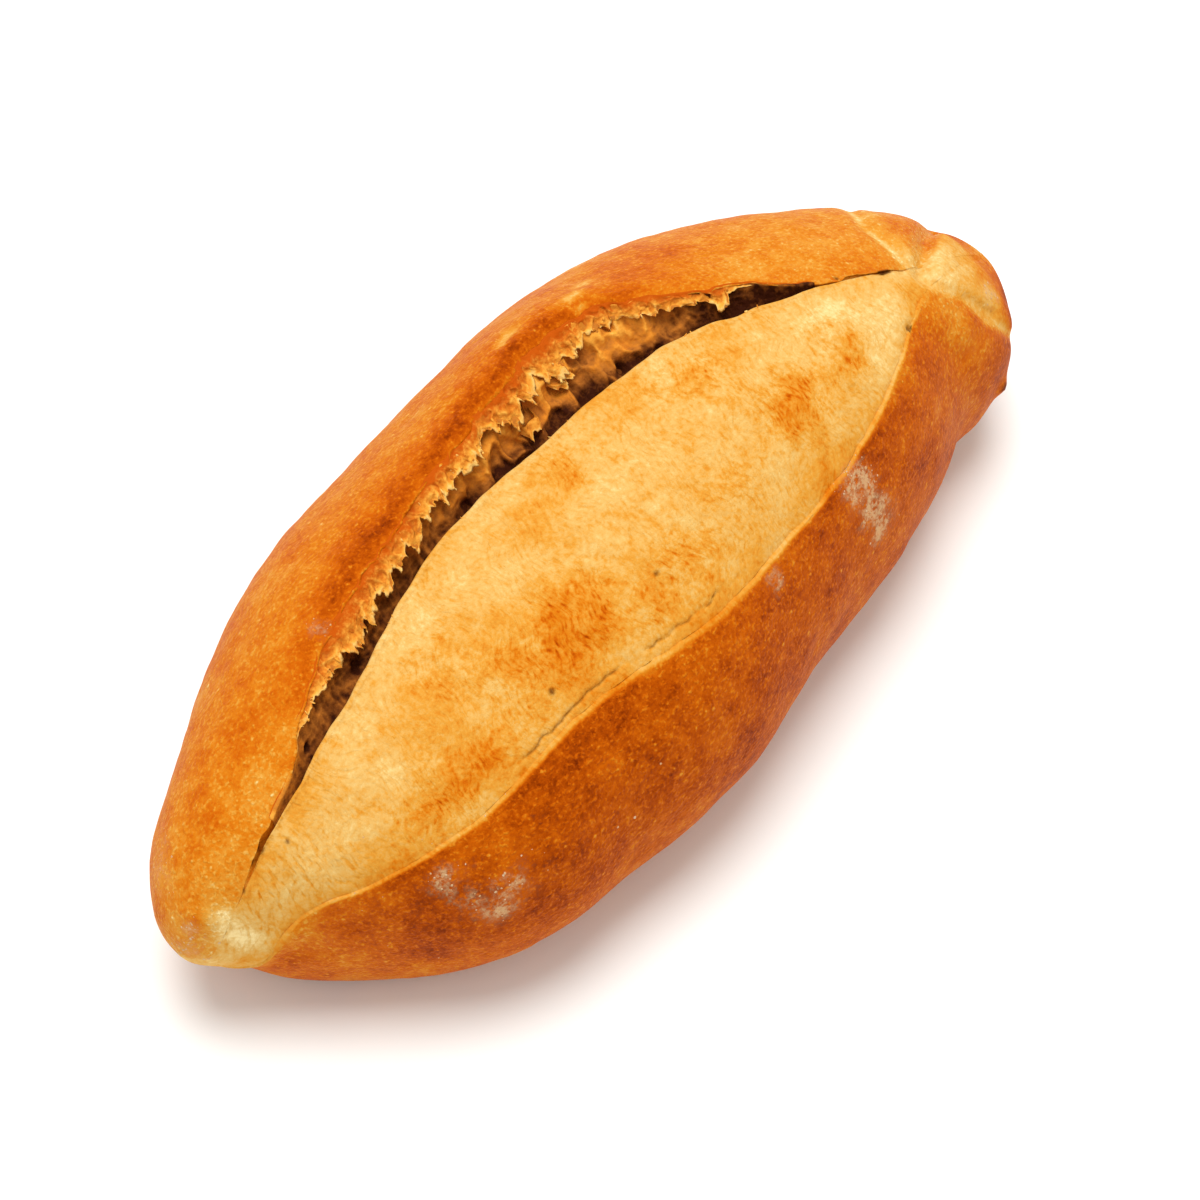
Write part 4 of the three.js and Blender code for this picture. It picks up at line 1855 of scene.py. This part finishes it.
@dataclass
class TornCrumb:
    """The open crumb on the ear's side of the gap: a bubbly wall, two ragged layers over it, and shreds.

    A name that ends in tone or painted_shade is what a feature adds to the depth that the finish reads as
    colour; the finish paints a deeper place darker, as shade.
    """

    form: LoafForm
    shift: Array
    start: float = -0.8
    end: float = 0.54
    middle: Stretch = Stretch(-0.2, 0.34, 0.14)
    rows: int = 800
    wall_columns: int = 44
    back_columns: int = 8
    rim_columns: int = 20
    under_columns: int = 8
    sink: float = 3.0
    back_way: Triple = (0.0, 1.0, -0.4)
    # Painted shade on the hidden back of the wall
    back_painted_shade: float = 0.9
    foot_share: float = 0.12
    foot_depth: float = 0.75
    sag: float = 0.08
    slope_handles: Pair = (0.33, 0.67)
    slope_shares: Pair = (0.15, 0.9)
    wall_foam: Foam = Foam(
        Warp(3.0, 1.2, 201), Bubbles(4.6, 211), Bubbles(1.2, 221), (0.75, 0.2), (0.2, 0.0)
    )
    film_noise: Noise = Noise(2.5, 1, 231)
    film_break_range: Range = (-0.5, 0.4)
    streak_tone: Noise = Noise(1.0, 2, 241, 0.1)
    streak_stretch: Triple = (1.2, 0.3, 0.3)
    bubble_depth: float = 1.6
    film_height: float = 0.25
    pore_height: float = 0.4
    closed_height: float = 0.25
    wall_ends: Pair = (0.02, 0.98)
    wall_height: float = 8.0
    hole_depth: float = 1.2
    hole_fray: Noise = Noise(0.9, 1, 251, 0.5)
    # Painted shade on the wall: darker towards its floor, at the far end of the gap, in hollows, pores and
    # holes
    end_painted_shades: Pair = (0.9, 0.5)
    middle_tone: float = 0.42
    low_painted_shade: Rise = Rise(0.5, 0.5, 0.25)
    far_painted_shade: Rise = Rise(0.42, 0.28, 0.4)
    hollow_painted_shade: float = 0.22
    film_tone: float = -0.2
    pore_painted_shade: float = -0.3
    hole_painted_shade: float = 0.4
    rim_teeth: tuple[Teeth, ...] = (Teeth(5.5, 0.5, 301), Teeth(2.2, 0.34, 303), Teeth(0.8, 0.14, 305))
    rim_base: float = 0.52
    rim_least_reach: float = 0.2
    rim_widest: float = 0.8
    rim_foot: float = 0.86
    layer_share: float = 0.56
    layer_reach: float = 2.6
    layer_wander: Noise = Noise(6.0, 1, 351, 0.1)
    layer_break_noise: Noise = Noise(4.0, 1, 357)
    layer_break_range: Range = (-0.4, 0.3)
    layer_stretch: Stretch = Stretch(-0.2, 0.24, 0.1)
    layer_burial: Pair = (2.4, -0.8)
    layer_thickness: float = 0.08
    layer_teeth: tuple[Teeth, ...] = (Teeth(2.6, 0.5, 353), Teeth(0.9, 0.3, 355))
    layer_base: float = 0.4
    layer_least_reach: float = 0.02
    rim_slope: float = 31.0
    rim_root: float = 0.5
    rim_bulge: float = 0.06
    rim_drop: float = 0.05
    foot_shift: Pair = (0.8, 0.0)
    rim_foam: Foam = Foam(
        Warp(1.3, 0.5, 311), Bubbles(1.9, 321), Bubbles(0.7, 331), (0.62, 0.2), (0.2, 0.03)
    )
    rim_fade: Range = (0.1, 0.4)
    under_weight: float = 0.6
    rim_full_share: float = 0.4
    pit_depth: float = 0.35
    rim_film_height: float = 0.3
    rim_pore_height: float = 0.5
    fine_fray: Noise = Noise(0.9, 1, 341, 0.4)
    broad_fray: Noise = Noise(3.0, 1, 345, 0.8)
    rim_tone: float = 0.43
    rim_edge_tone: float = -0.36
    # Painted shade on the rim: darker in its pits, at its pore centres and on its underside
    pit_painted_shade: float = 0.12
    rim_film_tone: float = -0.08
    rim_pore_painted_shade: float = -0.3
    under_painted_shade: float = 0.6
    crust_reach: float = 0.6
    shreds: int = 70
    brow_shreds: int = 12
    seed: int = 19
    shred_weights: Pair = (0.1, 1.0)
    shred_crowding: int = 3
    shred_brow_share: float = 0.08
    shred_way: Triple = (0.0, -0.7, -0.5)
    shred_brow_way: Triple = (0.0, 0.7, 0.3)
    shred_spread: float = 0.6
    shred_widths: Pair = (0.1, 0.3)
    shred_heights: Pair = (0.05, 0.12)
    shred_lengths: Pair = (0.2, 0.6)
    shred_jitter: float = 0.1
    shred_shape: tuple[int, int] = (5, 4)
    shred_unevenness: float = 0.3
    shred_tone: float = 0.2
    shred_tone_spread: float = 0.16
    shred_deepest_tone: float = 0.6
    rim_reach: Knots = (
        (-0.8, 0.3), (-0.7, 0.9), (-0.62, 2.2), (-0.55, 4.4), (-0.48, 6.2), (-0.42, 5.4), (-0.36, 4.4),
        (-0.28, 4.2), (-0.15, 4.4), (-0.05, 4.6), (0.05, 4.8), (0.13, 4.6), (0.2, 4.0), (0.28, 3.2),
        (0.34, 2.4), (0.385, 3.2), (0.42, 1.2), (0.54, 0.3),
    )
    holes: tuple[Triple, ...] = (
        (-0.485, 0.5, 1.0), (-0.52, 0.25, 0.9), (-0.62, 0.65, 0.7), (-0.68, 0.4, 0.6), (-0.18, 0.25, 1.1),
        (-0.11, 0.3, 0.9), (-0.02, 0.2, 1.1), (0.06, 0.35, 0.8), (0.12, 0.2, 1.1), (0.2, 0.3, 0.8),
        (0.27, 0.25, 0.9),
    )

    def build(self) -> Object:
        """Make the wall, the two layers and the shreds as one piece.

        Returns:
            The piece.
        """
        section = self.form.section(np.linspace(self.start, self.end, self.rows)[:, None])
        rim, rim_points = self._rim(section)
        pieces = [self._wall(section), rim, self._second(section), self._shreds(rim_points, section)]
        return joined(pieces).put("torn_crumb")

    def dress(self, piece: Object, finish: CrumbFinish) -> None:
        """Give the crumb its finish and its place in the part.

        Args:
            piece: the crumb.
            finish: its finish.
        """
        piece.data.materials.append(finish.material())
        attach(piece, BODY)

    def _close(self, rings: Array, depth: Array, crust: Array) -> Surface:
        """Close rings at both ends, at the middle of the end rings.

        Args:
            rings: points, one ring to a row.
            depth: how deep each point lies, as the finish reads it; deeper is painted darker, as shade.
            crust: how crusted it is.

        Returns:
            The closed surface.
        """
        placed = rings + self.shift
        values = {"depth": np.clip(depth, 0.0, 1.0), "crust": crust}
        return closed_tube(placed, placed[0].mean(0), placed[-1].mean(0), values)

    def _line(self, section: Section, share: Array) -> Array:
        """The wall's line: the torn stroke, drawn towards a sagging slope from under the brow.

        The slope is a Bezier curve, and it counts most in the middle of the gap.

        Args:
            section: sizes along the gap.
            share: shares of the way, from the foot to the lip.

        Returns:
            Points as (y, z).
        """
        brow, lip, _, _ = self.form.gap(section)
        down = np.array([0.0, 1.0]) * section.depth[..., None]
        foot = lerp(brow, lip, self.foot_share) - self.foot_depth * down
        first, second = [lerp(foot, lip, handle) - self.sag * down for handle in self.slope_handles]
        slope = bezier(foot, first, second, lip, share)
        weight = lerp(*self.slope_shares, self.middle.at(section.station))
        return lerp(self.form.torn(section, share), slope, weight[..., None])

    def _holes(self, front: Array, share: Array) -> Array:
        """The large holes in the wall: bell curves of the distance from their middles, frayed by noise.

        Args:
            front: points of the wall.
            share: their shares of the way up it.

        Returns:
            How deep a hole is, from 0 to 1.
        """
        fray = self.hole_fray.at(front)
        deepest = np.zeros(front.shape[:2])
        for station, place, reach in self.holes:
            along = front[..., 0] - self.form.half_length * station
            away = np.hypot(along, (share - place) * self.wall_height)
            deepest = np.maximum(deepest, bell(away + fray, reach))
        return deepest

    def _wall(self, section: Section) -> Surface:
        """The wall: its line with bubbles sunk into it, closed behind by the line moved inwards.

        Args:
            section: sizes along the gap.

        Returns:
            The closed wall.
        """
        share = np.linspace(0.0, 1.0, self.wall_columns)[None, :]
        front = section.in_space(self._line(section, share))
        back_share = np.linspace(1.0, 0.0, self.back_columns)[None, :]
        back = section.in_space(self._line(section, back_share)) + np.array(self.back_way) * self.sink
        normals = grid_normals(np.concatenate([front, back], axis=1))[:, : self.wall_columns]
        hollow, film, pores = self.wall_foam.at(front)
        film = film * smoothstep(*self.film_break_range, self.film_noise.at(front))
        hole = self._holes(front, share)
        middle = self.middle.at(section.station)
        strength = section.torn * np.sin(np.pi * np.clip(share, *self.wall_ends)) ** 0.5
        height = middle * self.bubble_depth * (self.film_height * film - hollow) + self.pore_height * pores
        height = (height - self.hole_depth * hole) * strength + self.closed_height * (1.0 - section.torn)
        streaks = self.streak_tone.at(front * np.array(self.streak_stretch))
        front = front + normals * height[..., None]
        # Painted shade: the wall darkens towards its floor, at the far end, in hollows, pores and holes,
        # and on its hidden back
        tone = lerp(lerp(*self.end_painted_shades, share), self.middle_tone + self.low_painted_shade.at(share), middle)
        tone = tone + self.far_painted_shade.at(section.station)
        tone = tone + (self.hollow_painted_shade * hollow + self.film_tone * film) * middle
        tone = tone + self.pore_painted_shade * pores + self.hole_painted_shade * hole + streaks
        depth = np.concatenate([tone, np.full((self.rows, self.back_columns), self.back_painted_shade)], axis=1)
        return self._close(np.concatenate([front, back], axis=1), depth, np.zeros_like(depth))

    def _rim(self, section: Section) -> tuple[Surface, Array]:
        """The torn rim under the crust's edge: its reach is cut into pointed teeth of three sizes.

        Args:
            section: sizes along the gap.

        Returns:
            The closed rim, and the points of its upper side.
        """
        root = self._line(section, np.ones((1, 1)))
        foot = self._line(section, np.full((1, 1), self.rim_foot))
        teeth = sum((row.at(section.x) for row in self.rim_teeth), self.rim_base)
        _, _, width, _ = self.form.gap(section)
        reach = np.maximum(curve_through(self.rim_reach, section.station), self.rim_least_reach)
        length = np.minimum(reach * section.torn * teeth, self.rim_widest * width)
        return self._layer(section, root, foot, length[..., None], baked=1.0)

    def _second(self, section: Section) -> Surface:
        """A lower ragged layer that hangs from the wall in the middle of the gap, broken up by noise.

        Args:
            section: sizes along the gap.

        Returns:
            The closed layer, which is buried in the wall where it is broken off.
        """
        line = on_axis(section.x)
        share = self.layer_share + self.layer_wander.at(line)
        whole = smoothstep(*self.layer_break_range, self.layer_break_noise.at(line))
        shown = whole * self.layer_stretch.at(section.station)
        buried = np.array(self.layer_burial) * (1.0 - shown)[..., None]
        root = self._line(section, share) + buried
        foot = self._line(section, share - self.layer_thickness) + buried
        teeth = sum((row.at(section.x) for row in self.layer_teeth), self.layer_base)
        length = np.maximum(self.layer_reach * teeth * shown, self.layer_least_reach)
        return self._layer(section, root, foot, length[..., None], baked=0.0)[0]

    def _layer(
        self, section: Section, root: Array, foot: Array, length: Array, baked: float
    ) -> tuple[Surface, Array]:
        """A ragged layer of crumb over the gap.

        Its upper side leaves a root line and slopes down over the gap, bulging a little. Its lower side
        goes back to a foot line. Bubbles are sunk into it, and noise frays its edge.

        Args:
            section: sizes along the gap.
            root: where it leaves the wall, as (y, z) points.
            foot: where its lower side comes back to the wall.
            length: how far it reaches.
            baked: how crusted it is at its root.

        Returns:
            The closed layer, and the points of its upper side.
        """
        out = np.linspace(0.0, 1.0, self.rim_columns)[None, :, None]
        edge = out[0, :, 0]
        slope = math.radians(self.rim_slope)
        reach = out * (length + self.rim_root) - self.rim_root
        rise = self.rim_bulge * length * np.sin(np.pi * out) - self.rim_drop
        top_z = root[..., 1:] - reach * math.sin(slope) + rise
        top = np.concatenate([root[..., :1] - reach * math.cos(slope), top_z], axis=-1)
        back = np.linspace(0.0, 1.0, self.under_columns + 1)[None, 1:, None]
        under = lerp(top[:, -1:], foot + np.array(self.foot_shift), back)
        rings = section.in_space(np.concatenate([top, under], axis=1))
        normals = grid_normals(rings)
        pit, film, pores = self.rim_foam.at(rings)
        weight = np.concatenate(
            [smoothstep(*self.rim_fade, edge), np.full(self.under_columns, self.under_weight)]
        )
        fits = np.minimum(1.0, self.rim_full_share * length[..., 0]) * weight[None, :]
        height = self.pit_depth * (self.rim_film_height * film - pit + self.rim_pore_height * pores)
        rings = rings - normals * (height * fits)[..., None]
        rings[..., 0] += (self.fine_fray.at(rings) + self.broad_fray.at(rings)) * fits
        # Painted shade: the layer darkens in its pits, at pore centres and on its underside
        tone = self.pit_painted_shade * pit + self.rim_film_tone * film + self.rim_pore_painted_shade * pores
        tone = self.rim_tone + self.rim_edge_tone * edge**3 + tone[:, : self.rim_columns]
        depth = np.concatenate([tone, np.full((self.rows, self.under_columns), self.under_painted_shade)], axis=1)
        crust = np.zeros_like(depth)
        crust[:, : self.rim_columns] = baked * np.exp(-edge / self.crust_reach)
        return self._close(rings[:, ::-1], depth[:, ::-1], crust[:, ::-1]), rings[:, : self.rim_columns]

    def _shreds(self, rim: Array, section: Section) -> Surface:
        """Pointed shreds of crumb at the rim's ragged edge, and a few at the brow across the gap.

        Places, ways, sizes and tones are drawn at random, and most shreds sit where the rim is thinnest.

        Args:
            rim: points of the rim's upper side.
            section: sizes along the gap.

        Returns:
            The shreds as one surface.
        """
        random = np.random.default_rng(self.seed)
        outer = np.linspace(*self.shred_weights, self.rim_columns) ** self.shred_crowding
        weight = np.broadcast_to(section.torn * outer, rim.shape[:2])
        chosen = random.choice(weight.size, self.shreds, p=weight.ravel() / weight.sum())
        brow = section.in_space(self.form.brow(section, np.full((1, 1), self.shred_brow_share)))
        rows = random.choice(self.rows, self.brow_shreds, p=section.torn[:, 0] / section.torn.sum())
        centres = np.concatenate([rim.reshape(-1, 3)[chosen], brow[rows, 0]])
        count = len(centres)
        ways = [self.shred_way] * self.shreds + [self.shred_brow_way] * self.brow_shreds
        along = unit(np.array(ways) + self.shred_spread * random.standard_normal((count, 3)))
        widths = lerp(*self.shred_widths, random.random(count))
        heights = lerp(*self.shred_heights, random.random(count))
        lengths = lerp(*self.shred_lengths, random.random(count) ** 2)
        size = np.stack([widths, heights, lengths], axis=-1)[..., None]
        centres = centres + self.shift + self.shred_jitter * random.standard_normal((count, 3))
        axes = frames_about(along, random) * size
        shreds = scatter(grain_shape(*self.shred_shape), centres, axes, self.shred_unevenness, random)
        tones = self.shred_tone + self.shred_tone_spread * random.standard_normal(count)
        each = len(shreds.vertices) // count
        depth = np.repeat(np.clip(tones, 0.0, self.shred_deepest_tone), each)
        values = {"depth": depth, "crust": np.zeros(count * each)}
        return Surface(shreds.vertices, shreds.quads, shreds.triangles, values)


# Loose flour


@dataclass
class FlourDust:
    """Grains of dusting flour that lie on the crust where its flour marks are."""

    skin: LoafSkin
    grains: int = 240
    smallest: float = 0.07
    largest: float = 0.26
    flatness: float = 0.25
    crowding: int = 2
    size_power: float = 2.5
    shape: tuple[int, int] = (6, 4)
    unevenness: float = 0.25
    seed: int = 7

    def build(self) -> Object:
        """Scatter the grains.

        A grain's place is drawn from the skin's vertices, by how floury they are, and moved a random part
        of the way to a neighbour.

        Returns:
            The piece.
        """
        random = np.random.default_rng(self.seed)
        flour = np.clip(self.skin.marks["flour"][:-1], 0.0, 1.0) ** self.crowding
        chosen = random.choice(flour.size, self.grains, p=flour.ravel() / flour.sum())
        row, column = np.unravel_index(chosen, flour.shape)
        beside = self.skin.points[row + 1, (column + 1) % flour.shape[1]]
        centres = lerp(self.skin.points[row, column], beside, random.random((self.grains, 1)))
        size = lerp(self.smallest, self.largest, random.random((self.grains, 1, 1)) ** self.size_power)
        axes = frames_about(self.skin.normals[row, column], random) * size
        axes[:, 2] *= self.flatness
        return scatter(grain_shape(*self.shape), centres, axes, self.unevenness, random).put("flour_grains")

    def dress(self, piece: Object, finish: FlourFinish) -> None:
        """Give the grains their finish and their place in the part.

        Args:
            piece: the grains.
            finish: their finish.
        """
        piece.data.materials.append(finish.material())
        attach(piece, BODY)


# The studio


@dataclass
class Studio:
    """A white floor, one large soft light over the ear's side, an even fill, and the camera."""

    floor_size: float = 6.0
    key_strength: float = 2.5
    key_spread: float = 36.0
    key_side: Triple = (0.1, 0.14, 0.985)
    fill_strength: float = 0.71
    fill_colour: tuple[float, float, float, float] = (0.95, 1.0, 0.96, 1.0)
    azimuth: float = -45.83
    elevation: float = 57.0
    distance: float = 489.0
    target: Triple = (-3.82, -5.22, 22.0)
    lens: float = 100.0
    sensor: float = 36.0

    def build(self) -> None:
        """Set the floor, the lights and the camera."""
        self._floor(FloorFinish())
        self._lights()
        self._camera()
        bpy.context.scene.view_settings.view_transform = "Standard"

    def _floor(self, finish: FloorFinish) -> None:
        """A flat square under the loaf.

        Args:
            finish: its finish.
        """
        half = 0.5 * self.floor_size / METRES
        corners = np.array([[-half, -half, 0.0], [half, -half, 0.0], [half, half, 0.0], [-half, half, 0.0]])
        surface = Surface(corners, np.array([[0, 1, 2, 3]]), np.zeros((0, 3), dtype=int))
        floor = surface.put("studio_floor")
        floor.data.materials.append(finish.material())

    def _lights(self) -> None:
        """One broad light from the ear's side, and a plain white surrounding."""
        key = bpy.data.lights.new("key", "SUN")
        key.energy = self.key_strength
        key.angle = math.radians(self.key_spread)
        lamp = bpy.data.objects.new("key", key)
        lamp.rotation_euler = Vector(self.key_side).to_track_quat("Z", "Y").to_euler()
        bpy.context.scene.collection.objects.link(lamp)
        world = bpy.data.worlds.new("studio")
        world.use_nodes = True
        background = world.node_tree.nodes["Background"]
        background.inputs["Color"].default_value = self.fill_colour
        background.inputs["Strength"].default_value = self.fill_strength
        bpy.context.scene.world = world

    def _camera(self) -> None:
        """The camera at the picture's viewing angle."""
        turn, lift = math.radians(self.azimuth), math.radians(self.elevation)
        back = Vector((math.sin(turn) * math.cos(lift), -math.cos(turn) * math.cos(lift), math.sin(lift)))
        lens = bpy.data.cameras.new("camera")
        lens.lens = self.lens
        lens.sensor_width = self.sensor
        camera = bpy.data.objects.new("camera", lens)
        camera.location = (Vector(self.target) + back * self.distance) * METRES
        camera.rotation_euler = back.to_track_quat("Z", "Y").to_euler()
        bpy.context.scene.collection.objects.link(camera)
        bpy.context.scene.camera = camera


def centring(form: LoafForm) -> Array:
    """How far the form moves so that its middle stands where the solid's middle stands.

    The form's own middle is halfway between its outermost points on the two sides.

    Args:
        form: the form.

    Returns:
        The move in millimetres.
    """
    lowest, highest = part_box(NODE)
    section = form.section(np.linspace(*CENTRING_STATIONS)[:, None])
    right = form.outline(section, np.linspace(*RIGHT_SIDE)[None, :])[..., 0].min()
    left = form.outline(section, np.linspace(*LEFT_SIDE)[None, :])[..., 0].max()
    middle = 0.5 * (lowest.y + highest.y) / METRES
    return np.array([0.0, middle - 0.5 * (right + left), 0.0])


def main() -> None:
    """Build the loaf piece by piece, then the studio."""
    logging.basicConfig(level=logging.INFO, format="%(name)s: %(message)s")
    form = LoafForm()
    shift = centring(form)
    skin = LoafSkin(form, shift)
    finishes = (
        (skin, CrustFinish()),
        (TornCrumb(form, shift), CrumbFinish()),
        (FlourDust(skin), FlourFinish()),
    )
    for maker, finish in finishes:
        piece = maker.build()
        maker.dress(piece, finish)
        log.info("%s: %d faces", piece.name, len(piece.data.polygons))
    Studio().build()


if __name__ == "__main__":
    main()
